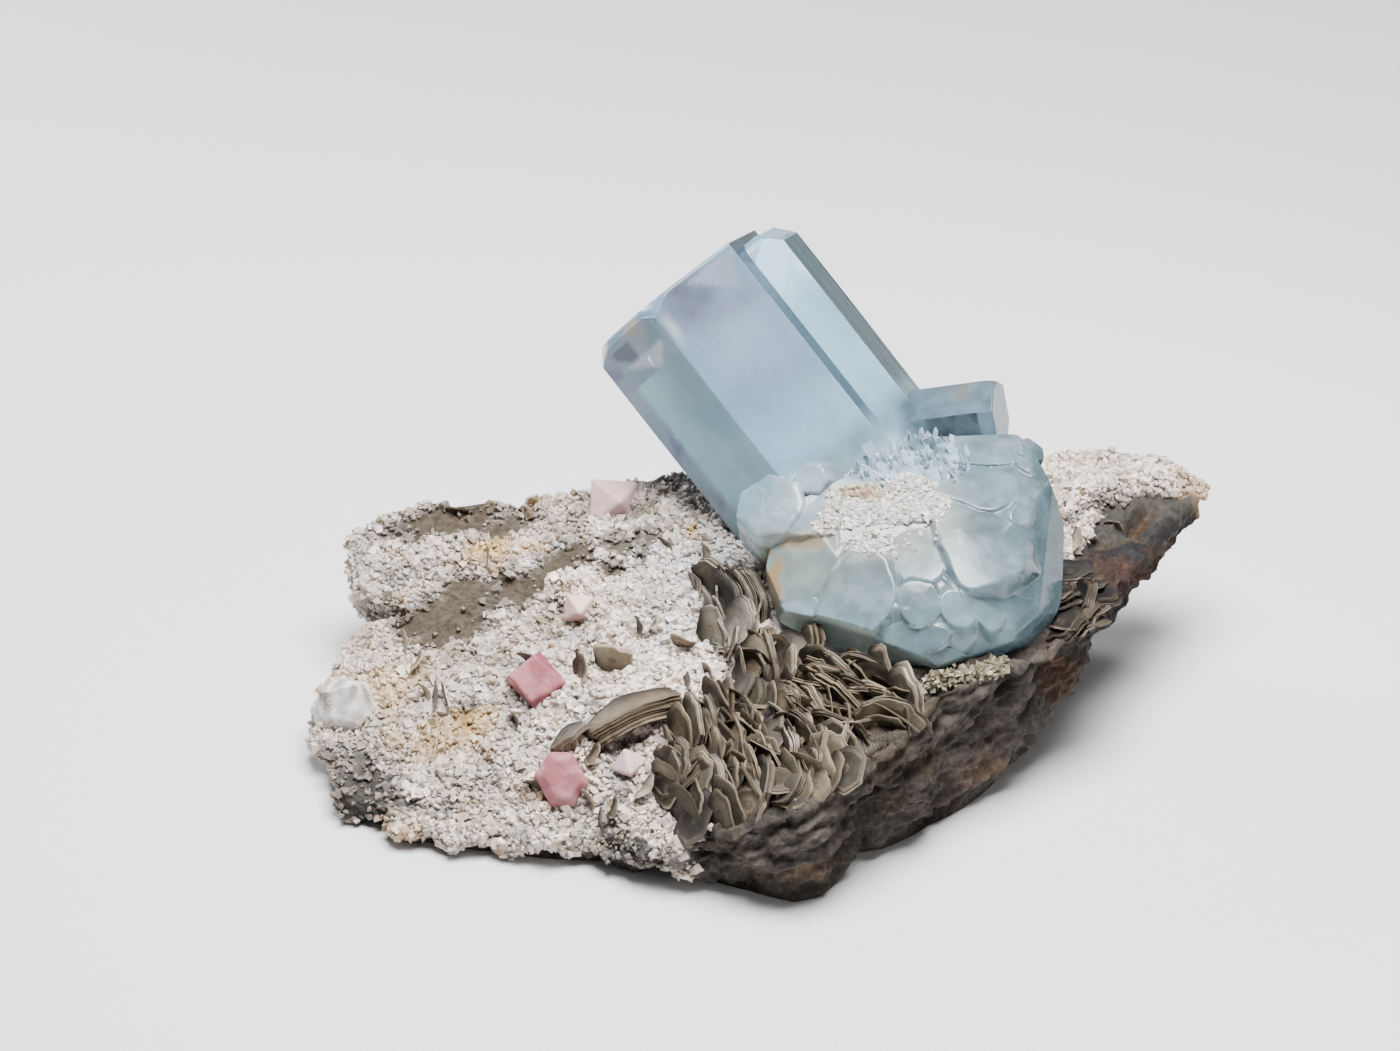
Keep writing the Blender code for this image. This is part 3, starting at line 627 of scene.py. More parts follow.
# a three-sided sliver: six corners, eight triangles
SLIVER = np.array([(x, y, z) for z in (-1, 1) for x, y in ((-1, -0.8), (1, -0.8), (0, 1))])
SLIVER_FACES = np.array((
    (0, 2, 1), (3, 4, 5), (0, 1, 4), (0, 4, 3), (1, 2, 5), (1, 5, 4), (2, 0, 3), (2, 3, 5),
))


def block_grains(places, sizes, turns, taper, shape=BLOCK, sides=BLOCK_FACES):
    """Worn grains: corners narrowed toward +Z, shifted, sized, turned and placed."""
    corners = np.repeat(shape[None], len(places), axis=0)
    narrow = 1 - taper[:, None] * (corners[..., 2] > 0)
    corners[..., 0] *= narrow
    corners[..., 1] *= narrow
    corners += chance.uniform(-0.26, 0.26, corners.shape)
    corners = corners * sizes[:, None, :] / 2.0
    corners = np.einsum("nij,nkj->nki", turns, corners) + places[:, None, :]
    faces = sides[None] + len(shape) * np.arange(len(places))[:, None, None]
    return corners.reshape(-1, 3), faces.reshape(-1, 3)


print("block:", len(BLOCK_FACES), "triangles, sliver:", len(SLIVER_FACES))

# %% Albite grains
# number, mean size and shape of each patch of grains
GRAIN_PATCHES = (
    (11500, 0.76, BLOCK, BLOCK_FACES), (16000, 0.62, SLIVER, SLIVER_FACES),
    (15000, 0.56, SLIVER, SLIVER_FACES),
)
GRAIN_LARGEST = 1.35
GRAIN_SHAPE = np.array((1.15, 1.0, 0.82))
# middle and radii of the room that the crystals and the mica books take
CRYSTAL_ROOM = ((33, -16, 30), (24, 19, 30))
BOOK_ROOM = ((14.5, -42, 22), (18, 10, 30))


def keep_clear(points):
    """1 away from the crystals' feet, 0 under them, so grains don't fill them."""
    foot, books = (
        np.linalg.norm((points - middle) / radii, axis=-1)
        for middle, radii in (CRYSTAL_ROOM, BOOK_ROOM)
    )
    return fade(0.85, 1.0, foot) * (0.02 + 0.98 * fade(0.85, 1.1, books))


def grain_tone(points, count):
    """White to cream albite, a painted bluish shadow, grains a little different, stains over
    it.
    """
    warm = 0.5 + 0.5 * noise(points, 14.0)
    # painted shade: a bluish shadow laid on the crust near the crystals' foot
    blue_shadow = np.exp(-(np.linalg.norm((points - (0, 2, 28)) / (14, 12, 9), axis=-1) ** 2))
    colour = ALBITE * (1 + 0.05 * (warm[:, None] - 0.5) * (1.0, 0.0, -1.2))
    colour = colour * (1 - blue_shadow[:, None] * (0.2, 0.12, 0.01))
    colour = colour * chance.uniform(0.74, 1.16, (count, 1))
    colour = colour * (1 + 0.2 * layered(points, 5.0, 2))[:, None]
    dirt = fade(0.1, 1.0, layered(points + 60.0, 9.0, 3, 0.6))
    dirt = dirt * (0.25 + 0.75 * fade(-12, -34, points[:, 0]))
    colour = colour * (1 - dirt[:, None] * (0.2, 0.34, 0.52))
    grey = fade(0.3, 1.0, layered(points + 90.0, 6.0, 3, 0.6))[:, None]
    colour = colour * (1 - grey * (0.34, 0.3, 0.26))
    dull = (chance.random((count, 1)) < 0.2) * chance.uniform(0.2, 0.8, (count, 1))
    colour = colour * (1 - dull * (0.72, 0.82, 0.98))
    # grains are brighter round the front middle and in noise patches, darker and warmer
    # elsewhere
    brighter_middle = np.exp(-(np.linalg.norm((points[:, :2] - (0, -22)) / (26, 17), axis=-1) ** 2))
    patchy = np.clip(0.5 + 0.9 * layered(points, 12.0, 3), 0, 1)
    brighter_middle = 0.6 + 0.4 * np.maximum(brighter_middle, 0.5 * patchy)
    colour = colour * brighter_middle[:, None] ** np.array((1.0, 1.06, 1.12))
    part = 0.75 * stained(points, colour) + 0.25 * colour
    return np.clip(part, 0.03, 0.88)


def grain_patch(name, count, mean_size, shape, sides):
    """One joined mesh of grains over the crust."""
    schist = blot(rock_vertices, STAINS["schist"][1])
    near_black = blot(rock_vertices, STAINS["near_black"][1])
    weight = rock_cover * (1 - 0.985 * schist) * keep_clear(rock_vertices)
    places, normals = scatter(count, weight * (1 - 0.9 * near_black))
    size = mean_size * np.exp(chance.normal(0.0, 0.42, count))
    size = np.minimum(size * np.exp(0.25 * layered(places, 8.0, 2)), GRAIN_LARGEST)
    tuft = np.clip(0.5 + 0.8 * layered(places, 4.5, 2), 0, 1)
    places = places + normals * ((0.15 + 0.75 * tuft) * size * 0.5)[:, None]
    sizes = size[:, None] * GRAIN_SHAPE * chance.uniform(0.72, 1.28, (count, 3))
    points, faces = block_grains(
        places, sizes, random_turns(count), chance.uniform(0.1, 0.5, count), shape, sides,
    )
    each = len(shape)
    points[:, 2] = np.maximum(points[:, 2], 0.0)
    mesh = new_mesh(name, points, faces)
    away = points - np.repeat(places, each, axis=0)
    high = (away * np.repeat(normals, each, axis=0)).sum(1)
    # painted shade: each grain is painted darker and a little warmer toward its lower corners
    deep = 0.84 + 0.16 * fade(-0.5, 0.4, high / np.repeat(size, each))
    tone = np.repeat(grain_tone(places, count), each, axis=0)
    paint(mesh, "tone", tone * deep[:, None] ** np.array((0.9, 1.0, 1.1)))
    return mesh


albite_finish = tone_finish(
    "albite_finish", 0.86, 1.12, 1500.0, (0.55, 0.32), (0.25, 0.0003),
    Subsurface_Weight=0.35, Subsurface_Radius=(1.0, 0.85, 0.75), Subsurface_Scale=0.0009,
)
for number, patch in enumerate(GRAIN_PATCHES, 1):
    name = f"albite_grains_{number}"
    mesh = grain_patch(name, *patch)
    add_piece(name, mesh, albite_finish, smooth=number > 1)

# %% [markdown]
# ## Aquamarine: the long prisms
#
# Beryl grows as a six-sided prism with a flat end.  Here two share one direction and
# touch along a groove, and a third lies behind.  A cone primitive with six sides would
# have the shape, but razor edges and no end bevels, and light shows both at once.
# So the outline is a function of two parameters: six flats joined by small arcs go
# round, rows climb to the end, and the end is a height field, the lowest of the flat
# end and its bevels.  Its rim is rounded by a quarter circle of the same small size.

# %% Prism outline and end
CORNER_ROUND = 0.28
FLAT_POINTS = np.concatenate(((0.0, 0.02), np.linspace(0.05, 0.95, 20), (0.98,)))
ARC_STEPS = 4
SIDE_ROWS = (24, 40)
END_RINGS = (0.97, 0.93, 0.88, 0.82, 0.75, 0.66, 0.55, 0.4, 0.2)
END_SOFT = 0.05
END_LEAN = 0.25
SIDE_RIPPLE = 0.035


def hexagon(flats):
    """Outline (n, 2): each flat from arc to arc, then an arc through 60 degrees."""
    reach = flats / 2.0
    half = (reach - CORNER_ROUND) * math.tan(math.pi / 6)
    turn = np.radians(60.0 * np.arange(6))[:, None]
    along = (2 * FLAT_POINTS - 1.0) * half
    flat_x = reach * np.cos(turn) - along * np.sin(turn)
    flat_y = reach * np.sin(turn) + along * np.cos(turn)
    swing = turn + np.radians(np.linspace(0, 60, ARC_STEPS, endpoint=False))
    middle = (reach - CORNER_ROUND) / math.cos(math.pi / 6)
    arc_x = middle * np.cos(turn + math.pi / 6) + CORNER_ROUND * np.cos(swing)
    arc_y = middle * np.sin(turn + math.pi / 6) + CORNER_ROUND * np.sin(swing)
    outline = np.stack((np.hstack((flat_x, arc_x)), np.hstack((flat_y, arc_y))), -1)
    return outline.reshape(-1, 2)


def lowest(values, round_off):
    """Smooth minimum along the last axis: -r log(sum exp(-v / r))."""
    base = values.min(axis=-1, keepdims=True)
    total = np.exp((base - values) / round_off).sum(axis=-1)
    return base[..., 0] - round_off * np.log(total)


def end_height(spots, length, bevels, lean=(0.0, 0.0)):
    """Height of the end at cross-section spots: flat end, cut down by each bevel."""
    planes = [length + spots[..., 0] * lean[0] + spots[..., 1] * lean[1]]
    for degrees, reach, leg in bevels:
        turn = math.radians(degrees)
        away = spots[..., 0] * math.cos(turn) + spots[..., 1] * math.sin(turn)
        planes.append(length + reach - leg - away)
    return lowest(np.stack(planes, -1), END_SOFT)


def prism_shell(foot, axis, first, flats, root, length, bevels):
    """Grid rows from the root up the sides, round the rim and in over the end."""
    side = np.cross(axis, first)
    outline = hexagon(flats)
    rise = np.concatenate((
        np.linspace(0, 0.72, SIDE_ROWS[0], endpoint=False),
        np.linspace(0.72, 0.985, SIDE_ROWS[1]), (0.993, 0.998),
    ))
    lean = END_LEAN / flats
    top = end_height(outline, length, bevels, (lean, -lean)) - CORNER_ROUND
    sides = -root + (top + root) * rise[:, None]
    rows = [np.concatenate((
        np.repeat(outline[None], len(rise), axis=0), sides[..., None],
    ), -1)]
    reach = np.linalg.norm(outline, axis=1, keepdims=True)
    for turn in np.radians(np.linspace(0, 90, ARC_STEPS + 1)):
        ring = outline * (1 - CORNER_ROUND * (1 - math.cos(turn)) / reach)
        height = top + CORNER_ROUND * math.sin(turn)
        rows.append(np.concatenate((ring, height[:, None]), 1)[None])
    for part in END_RINGS:
        ring = outline * (1 - CORNER_ROUND / reach) * part
        height = end_height(ring, length, bevels, (lean, -lean))
        rows.append(np.concatenate((ring, height[:, None]), 1)[None])
    rows = np.concatenate(rows)
    poles = np.array(((0, 0, -root), (0, 0, length)), float)
    local = np.concatenate((rows.reshape(-1, 3), poles))
    ripple = noise(local * (1.0, 1.0, 0.06), 1.1) * (local[:, 2] < length - 2)
    local[:, :2] *= 1 + (SIDE_RIPPLE * ripple / (flats / 2.0))[:, None]
    frame_of = np.stack((first, side, axis))
    return foot + local @ frame_of, tube_faces(*rows.shape[:2])


print("outline:", len(hexagon(10.0)), "points")

# %% The tall pair and the small prism behind
TALL_FLATS, TWIN_FLATS, BACK_FLATS = 30.9, 17.3, 11.3
TWIN_ASIDE = 13.0
TALL_AXIS = heading(128.2)
TALL_SIDE = heading(38.2)
TALL_TURN = math.radians(11.4)
TALL_FIRST = OUT * math.cos(TALL_TURN) + TALL_SIDE * math.sin(TALL_TURN)
TALL_BESIDE = np.cross(TALL_AXIS, TALL_FIRST)
TALL_FOOT = board(28.8, -2.6, -12.0)
# direction from the front face, distance out and leg of each bevel of the end
TALL_BEVELS = (
    (-90, 17.85, 3), (-30, 17.85, 2.2), (-60, 15.45, 0.9), (0, 15.45, 0.06),
)
TWIN_BEVELS = ((0, 8.65, 1.3), (60, 8.65, 3.2), (30, 10, 2))
BACK_SWING, BACK_ROLL = math.radians(17.0), math.radians(55.0)
BACK_AXIS = heading(7.0) * math.cos(BACK_SWING) + OUT * math.sin(BACK_SWING)
BACK_UP = unit(RISE - BACK_AXIS * (RISE @ BACK_AXIS))
BACK_FIRST = BACK_UP * math.cos(BACK_ROLL) + np.cross(BACK_AXIS, BACK_UP) * math.sin(
    BACK_ROLL)
BACK_BESIDE = np.cross(BACK_AXIS, BACK_FIRST)
BACK_END = board(50.6, 18.6, -6.0)

tall_shell = prism_shell(
    TALL_FOOT, TALL_AXIS, TALL_FIRST, TALL_FLATS, 12.0, 53.9, TALL_BEVELS,
)
twin_shell = prism_shell(
    TALL_FOOT + TALL_SIDE * TWIN_ASIDE, TALL_AXIS, TALL_FIRST, TWIN_FLATS, 11.0, 52.2,
    TWIN_BEVELS,
)
back_shell = prism_shell(
    BACK_END, BACK_AXIS, BACK_FIRST, BACK_FLATS, 24.0, 0.0,
    ((90.0, 6.5, 0.7), (-30.0, 6.5, 0.9)),
)
print("tall prism", len(tall_shell[0]), "points")

# %% [markdown]
# ## Aquamarine: the squat crystal
#
# The fourth crystal is short and wide, and its blunt end is a mosaic of flat lobes
# that step over each other, some six-sided, some rounded.  As separate blocks joined
# together, each would meet the next in a hard seam; as a height field the whole end is
# one skin.  Each lobe is a plateau over a convex outline, with a steep flank; it lies
# along the body below it, tipped so that its lower edge stands out like a shingle.
# The skin is the highest of the lobes and the body's facets.

# %% Squat crystal: facets and lobes
SQUAT_MIDDLE = (35.0, -4.0)
SQUAT_DEPTH, SQUAT_BACK, SQUAT_UNDERSIDE = 12.0, -13.0, 21.0
SQUAT_SIDES = np.array((
    (10.6, -7.3, 16), (12.8, -15.8, 22), (26.2, -22.4, 14), (36.9, -25.6, 12),
    (46.7, -23.8, 20), (54.9, -20.1, 28), (59.3, -13, 16), (60, 0.4, 12),
    (55.9, 10.7, 8), (52.6, 15.2, 4), (37.7, 14.6, 2), (24.6, 8.5, 2), (13, 2.5, 6),
), float)
# facets of the end: tilt across, tilt up, and a point (across, rise, out) on each
SQUAT_FACETS = (
    (0, 41, (40, 14, 6.6)), (-6, 33, (34, -4, 20.6)), (4, 14, (38, -16, 27)),
    (0, -38, (40, -22.6, 27.2)), (-34, 12, (16, -8, 16.8)), (36, 8, (53, -8, 18.4)),
    (58, 2, (58, -4, 12.6)), (24, -24, (50, -16, 22.4)), (-22, -22, (20, -17, 20)),
)
# lobes: how proud, how far the lower edge is tipped out, painted light and shade,
# outline (across, rise)
SQUAT_LOBES = (
    (0.3, 0.3, 0.95, ((10, -4.4), (13.5, -2.2), (17.5, -0.6), (21.8, -0.8), (22.4, -5),
     (21, -9), (18.6, -11.6), (14, -12.4), (11, -12.4), (10, -8))),
    (0.7, 0.4, 1.3, ((13.2, -12.8), (14.2, -11.4), (16.2, -10.8), (18.6, -11.3),
     (19.1, -12.7), (18.3, -14.4), (16.6, -15.1), (14.4, -14.8))),
    (0.5, 0.7, 0.92, ((22.6, -4.4), (26, -3.6), (29.8, -5.2), (31.4, -9), (31.2, -12),
     (29.4, -15.6), (25.8, -17.8), (21.2, -16.8), (18.6, -14.6), (19.4, -11.2),
     (21.2, -8.2))),
    (0.7, 0.6, 1, ((30.6, -4.4), (32.2, -1.6), (35.2, 0.3), (38.6, -0.4), (40.2, -3.2),
     (39.6, -6.8), (37.4, -9.2), (34, -9.6), (31.4, -7.6))),
    (0.3, -0.5, 0.85, ((31.6, -10.2), (33.6, -8.8), (37.4, -9.2), (38.6, -11.6),
     (38.4, -14.4), (36.4, -16), (33.4, -15.4), (31.6, -13.2))),
    (0.7, 0.3, 1.12, ((38.4, -10.9), (40.6, -10.2), (43, -11.6), (44, -13.6), (43.4, -15.8),
     (41.6, -16.4), (39.4, -15.4), (38.4, -13.2))),
    (0.5, 0.4, 1.05, ((42.2, -10.9), (46.8, -12.8), (49, -15), (47, -17.2), (44.6, -15.4))),
    (0.6, 1, 0.95, ((38.6, 4.2), (46.2, 2), (51.6, 0.4), (52.8, -3), (52.5, -6.2),
     (47.6, -9.3), (41.6, -10.4), (39.6, -8), (38.6, -2), (36.8, 1.8))),
    (0.5, 0.6, 1.05, ((27.2, -18.8), (28.6, -16.6), (31.4, -14.8), (35.2, -15.6),
     (39.8, -15.4), (39.9, -18), (38.2, -20), (34.8, -21.6), (31.6, -22), (28.8, -21))),
    (0.3, 0.3, 0.82, ((34.8, -21.2), (38.6, -19.6), (41.2, -19.8), (43, -22.6),
     (40.4, -24.6), (36.6, -25.6), (34.6, -24))),
    (0.5, 0.3, 1.2, ((40, -16), (42.4, -16.4), (44.6, -18.2), (42, -20.2), (40, -18.8))),
    (0.7, 0.6, 1.2, ((38.4, 4.8), (43.2, 3.4), (46.8, 1.7), (49.2, 2.8), (52.2, 5.4),
     (52, 8.6), (51.6, 10.4), (45, 10.2), (40, 8), (37.2, 6))),
    (0.5, 0.3, 1.15, ((41, 10.2), (44, 10), (51.2, 10.2), (52.4, 12), (50.8, 14.8),
     (44.6, 15), (40.8, 13))),
    (0.5, 0.3, 1, ((51.2, 13.6), (52.4, 15), (54.2, 13.2), (54.8, 11.2), (54.2, 8.6),
     (52.6, 9.6))),
    (0.3, 0.2, 1.15, ((50, 1.8), (53.8, 4.6), (54.2, 1), (52.4, -0.4), (50.4, 0.6))),
    (0.2, 0.2, 1, ((52.6, -6), (55.2, -9), (54.6, -12), (50.4, -10.6), (48.4, -9.4))),
    (0.3, 0.2, 0.98, ((31, 1), (34.6, 0.6), (38, 1.2), (38.8, 4.2), (34, 4.4), (31.2, 3.2))),
    (0.2, 0.2, 1, ((12.4, -0.8), (16.4, 1.8), (18.2, 4.8), (21.2, 5.4), (22.4, 2.6),
     (21.8, -0.8), (17.6, -1.6))),
)
LOBE_LAP = 0.4
SIDE_SWELL = 0.6
LOBE_FLANK = 1.9
LOBE_CORNER = 0.7
LOBE_DOME = 0.012
LOBE_WAVE = 0.3
LOBE_BLEND = 0.035
EDGE_ROUND = 0.08
ICY_MIDDLE, ICY_HALF = (34.5, 11.0), (8.5, 4.6)
ICY_DEPTH = 0.8


print(len(SQUAT_LOBES), "lobes over", len(SQUAT_FACETS), "facets")

# %% Heights of facets, sides and lobes
def facet_height(across, rise, tilt_across, tilt_up, point):
    """Out of a tilted plane: point out - (slope across, slope up) times the offset."""
    side, lift = math.radians(tilt_across), math.radians(tilt_up)
    slope_across = math.tan(side)
    slope_up = math.tan(lift) / math.cos(side)
    return point[2] - (across - point[0]) * slope_across - (rise - point[1]) * slope_up


def facets_height(across, rise):
    """Lowest of the end's facets."""
    planes = [facet_height(across, rise, *facet) for facet in SQUAT_FACETS]
    return lowest(np.stack(planes, -1), EDGE_ROUND)


def side_lines():
    """Each side of the body: a corner, the run and climb to the next, the draft."""
    for (a, r, draft), (to_a, to_r, _) in zip(SQUAT_SIDES, np.roll(SQUAT_SIDES, -1, axis=0)):
        yield a, r, to_a - a, to_r - r, draft


def sides_height(across, rise):
    """Lowest of the drafted sides: depth plus distance inside over the draft's tangent."""
    planes = []
    for a, r, run, climb, draft in side_lines():
        inside = -((across - a) * climb - (rise - r) * run) / math.hypot(run, climb)
        planes.append(SQUAT_DEPTH + inside / math.tan(math.radians(draft)))
    return lowest(np.stack(planes, -1), EDGE_ROUND)


def lobe_plan(proud, tip, shade, corners):
    """A lobe's plane and outline, worked out from the facets that lie under it.

    The plane is the least-squares fit to the facets at the corners, lifted clear of it
    and tipped; the outline is one outward direction and reach per side.
    """
    corners = np.array(corners, float)
    middle, after = corners.mean(axis=0), np.roll(corners, -1, axis=0)
    run = unit(after - corners)
    away = np.stack((run[:, 1], -run[:, 0]), -1)
    reach = ((corners - middle) * away).sum(1)
    away, reach = away * np.sign(reach)[:, None], np.abs(reach) + LOBE_LAP
    probes = np.concatenate((corners, (corners + after) / 2, (corners + middle) / 2))
    design = np.concatenate((probes - middle, np.ones((len(probes), 1))), axis=1)
    under = facets_height(*probes.T)
    plane = np.linalg.lstsq(design, under, rcond=None)[0]
    plane[2] += (under - design @ plane).max() + proud
    half_high = np.ptp(corners[:, 1]) / 2
    plane[1] -= tip / half_high
    return middle, plane, away, reach, half_high, shade


LOBE_PLANS = [lobe_plan(*lobe) for lobe in SQUAT_LOBES]


def lobe_height(across, rise, plan):
    """A gently domed plateau inside the outline, a steep flank outside it."""
    middle, plane, away, reach, _, _ = plan
    u, v = across - middle[0], rise - middle[1]
    inside = [far - u * x - v * y for (x, y), far in zip(away, reach)]
    wave = LOBE_WAVE * layered(np.stack((across, rise, 0 * rise + plane[2]), -1), 2.6, 2)
    outside = wave - lowest(np.stack(inside, -1), LOBE_CORNER)
    plateau = plane[2] + u * plane[0] + v * plane[1] - LOBE_DOME * (u * u + v * v)
    return lowest(np.stack((plateau, plateau - outside * LOBE_FLANK), -1), EDGE_ROUND)


half_heights = [plan[4] for plan in LOBE_PLANS]
print("lobes' half heights:", min(half_heights), "to", max(half_heights), "mm")

# %% One skin over them all
def end_shapes(across, rise):
    """Heights of the facets and of every lobe, on a last axis."""
    shapes = [facets_height(across, rise)]
    shapes += [lobe_height(across, rise, plan) for plan in LOBE_PLANS]
    return np.stack(shapes, -1)


def icy_share(across, rise):
    """1 inside the icy patch, 0 well outside it."""
    u, v = (across - ICY_MIDDLE[0]) / ICY_HALF[0], (rise - ICY_MIDDLE[1]) / ICY_HALF[1]
    return fade(1.25, 0.7, u**2 + v**2)


def end_skin(across, rise):
    """Highest of the facets and every lobe, cut back by the drafted sides.

    The icy patch adds steep streaks: ridged noise stretched up the slope.
    """
    top = -lowest(-end_shapes(across, rise), LOBE_BLEND)
    sides = sides_height(across, rise) + SIDE_SWELL
    top = lowest(np.stack((top, sides), -1), EDGE_ROUND)
    inner = fade(0.0, 1.5, top - SQUAT_DEPTH)
    place = np.stack((across, rise, 0.3 * top), -1)
    streaks = np.stack((across + 0.35 * rise, 0.35 * rise, 0 * rise), -1)
    streaks = 0.5 - np.abs(layered(streaks, 1.0, 3, 0.6))
    rough = 0.05 * noise(place, 2.6) + 0.008 * noise(place, 0.6)
    return top + inner * (rough + ICY_DEPTH * icy_share(across, rise) * streaks)


print("out over the middle:", end_skin(*np.array(SQUAT_MIDDLE)).round(1), "mm")

# %% Squat crystal: the closed shell
SQUAT_COLUMNS, SQUAT_ROWS, SQUAT_WALL_ROWS = 430, 108, 12


def squat_outline(turn):
    """Distance from the middle to the side planes in each direction, rounded."""
    inverse = []
    for a, r, run, climb, _ in side_lines():
        out_a, out_r = climb / math.hypot(run, climb), -run / math.hypot(run, climb)
        gap = (a - SQUAT_MIDDLE[0]) * out_a + (r - SQUAT_MIDDLE[1]) * out_r
        facing = np.maximum(np.cos(turn) * out_a + np.sin(turn) * out_r, 0.0)
        inverse.append(facing / gap)
    return 1.0 / (np.sum(np.array(inverse) ** 60.0, axis=0) ** (1.0 / 60.0))


def squat_shell():
    """Rows: up the side wall from the back, then over the end to its middle."""
    turn = full_turn(SQUAT_COLUMNS)
    reach = squat_outline(turn)
    inward = 1 - (1 - np.linspace(1.0, 0.0, SQUAT_ROWS, endpoint=False)) ** 1.5
    across = SQUAT_MIDDLE[0] + inward[:, None] * reach * np.cos(turn)
    rise = SQUAT_MIDDLE[1] + inward[:, None] * reach * np.sin(turn)
    skin = end_skin(across, rise)
    below = (SQUAT_UNDERSIDE - BOARD_ORIGIN[2] - rise[0] * RISE[2]) / OUT[2]
    bottom = np.minimum(np.maximum(below, SQUAT_BACK), skin[0] - 1.0)
    climb = np.linspace(0, 1, SQUAT_WALL_ROWS, endpoint=False)[:, None]
    wall = bottom + (skin[0] - bottom) * climb
    wall_a, wall_r = (np.repeat(part[:1], SQUAT_WALL_ROWS, axis=0) for part in (across, rise))
    points = np.concatenate((board(wall_a, wall_r, wall), board(across, rise, skin)))
    middle = end_skin(*(np.array([part]) for part in SQUAT_MIDDLE))
    poles = np.concatenate((
        board(*SQUAT_MIDDLE, SQUAT_BACK)[None], board(*SQUAT_MIDDLE, middle),
    ))
    return np.concatenate((points.reshape(-1, 3), poles)), tube_faces(*points.shape[:2])


squat = squat_shell()
print("squat crystal", len(squat[0]), "points, box", np.ptp(squat[0], axis=0).round(1))

# %% [markdown]
# ## Aquamarine: one body
#
# Where the crystals interpenetrate, light passes from one to the next without seeing a
# surface, so they have to be one closed shell; four overlapping shells would show
# ghost walls inside.  An exact Boolean union does that once, here, on still geometry.
#
# A few plates stand out past the squat crystal.  They are convex, and a convex body has
# one formula: in a direction d its surface lies at 1 / max(n.d / h) over its planes
# (normal n, distance h).  A high power mean in place of the maximum rounds every edge
# and corner by the same small amount, as growth and handling do.

# %% Convex crystals
def turned_frame(roll, across, up):
    """Rows first, second, facing: OUT tilted to the side and up, then rolled."""
    side, lift, turn = (math.radians(part) for part in (across, up, roll))
    facing = (OUT * math.cos(side) + ACROSS * math.sin(side)) * math.cos(lift)
    facing = unit(facing + RISE * math.sin(lift))
    first = unit(ACROSS - facing * (ACROSS @ facing))
    second = np.cross(facing, first)
    return np.stack((
        first * math.cos(turn) + second * math.sin(turn),
        second * math.cos(turn) - first * math.sin(turn), facing,
    ))


def convex_shell(middle, turned, planes, power=70.0, rough=0.012, rows=40):
    """Points at distance (sum(max(n.d / h, 0)^p))^(-1/p) in every direction d."""
    polar = np.linspace(math.pi, 0, rows + 2)[1:-1, None]
    angle = full_turn(2 * rows)
    ways = np.stack((
        np.sin(polar) * np.cos(angle), np.sin(polar) * np.sin(angle),
        np.cos(polar) + 0 * angle,
    ), -1).reshape(-1, 3)
    ways = np.concatenate((ways, ((0, 0, -1), (0, 0, 1))))
    planes = np.array(planes, float)
    share = np.maximum(ways @ unit(planes[:, :3]).T, 0.0) / planes[:, 3]
    most = share.max(axis=1, keepdims=True)
    reach = 1.0 / (most[:, 0] * ((share / most) ** power).sum(axis=1) ** (1.0 / power))
    local = ways * reach[:, None]
    ripple = rough * layered(local, 1.1, 3, 0.7)
    local = local * (1 + ripple)[:, None]
    return middle + local @ turned, tube_faces(rows, 2 * rows)


print("facing, tipped up 30 degrees:", turned_frame(0, 0, 30)[2].round(2))

# %% Plates that stand out past the squat crystal
# middle (across, rise, out), roll, tilt across and up, half thickness, and the
# distances of the side planes in order round the plate
PLATES = (
    ((12.6, 1.9, 10.2), 14, -20, 24, 3.4, (6.1, 6, 6.1, 6.4, 6.2, 6, 5.9)),
    ((18.8, 7.2, 10.2), 25, -14, 8, 3, (3.3, 3.1, 3.2, 3.4, 3, 3.2)),
    ((22.4, 3.6, 13.4), 5, -4, 26, 1.4, (1.2, 1.5, 1.2, 1.4, 1.2)),
    ((53.6, 11.2, 6.4), 0, 30, 34, 2.4, (2.9, 2.6, 2.9, 2.7, 2.8, 2.6)),
)
PLATE_DRAFT, PLATE_BEVEL, PLATE_ROOT = 0.22, 0.55, 2.0


def plate_shell(middle, roll, across, up, half, sides):
    """A thick plate: front and back planes, drafted sides, and a bevel on each side."""
    planes = [(0, 0, 1, half), (0, 0, -1, half + PLATE_ROOT)]
    for turn, reach in zip(full_turn(len(sides)), sides):
        x, y = math.cos(turn), math.sin(turn)
        planes.append((x, y, PLATE_DRAFT, reach / math.hypot(1.0, PLATE_DRAFT)))
        planes.append((x, y, 1.0, (reach + half - PLATE_BEVEL) / math.sqrt(2.0)))
    return convex_shell(board(*middle), turned_frame(roll, across, up), planes, 34.0, 0.014)


plates = [plate_shell(*plate) for plate in PLATES]
print(len(plates), "plates")

# %% Join the crystals
def loose(name, shell):
    """A plain object for the union, with its faces turned outward."""
    mesh = new_mesh(name, *shell)
    work = bmesh.new()
    work.from_mesh(mesh)
    bmesh.ops.recalc_face_normals(work, faces=work.faces)
    work.to_mesh(mesh)
    work.free()
    return placed(name, mesh)


def joined(name, shells):
    """The exact union of closed shells, as one mesh."""
    parts = [loose(f"{name}_{count}", shell) for count, shell in enumerate(shells)]
    for part in parts[1:]:
        union = parts[0].modifiers.new("join", "BOOLEAN")
        union.operation, union.solver, union.object = "UNION", "EXACT", part
    bpy.context.view_layer.update()
    graph = bpy.context.evaluated_depsgraph_get()
    mesh = bpy.data.meshes.new_from_object(parts[0].evaluated_get(graph))
    for part in parts:
        bpy.data.objects.remove(part)
    return mesh


def mesh_points(mesh):
    """Vertices of a mesh back in working-frame millimetres."""
    points = np.empty(len(mesh.vertices) * 3, np.float32)
    mesh.vertices.foreach_get("co", points)
    return points.reshape(-1, 3) / MM - SHIFT


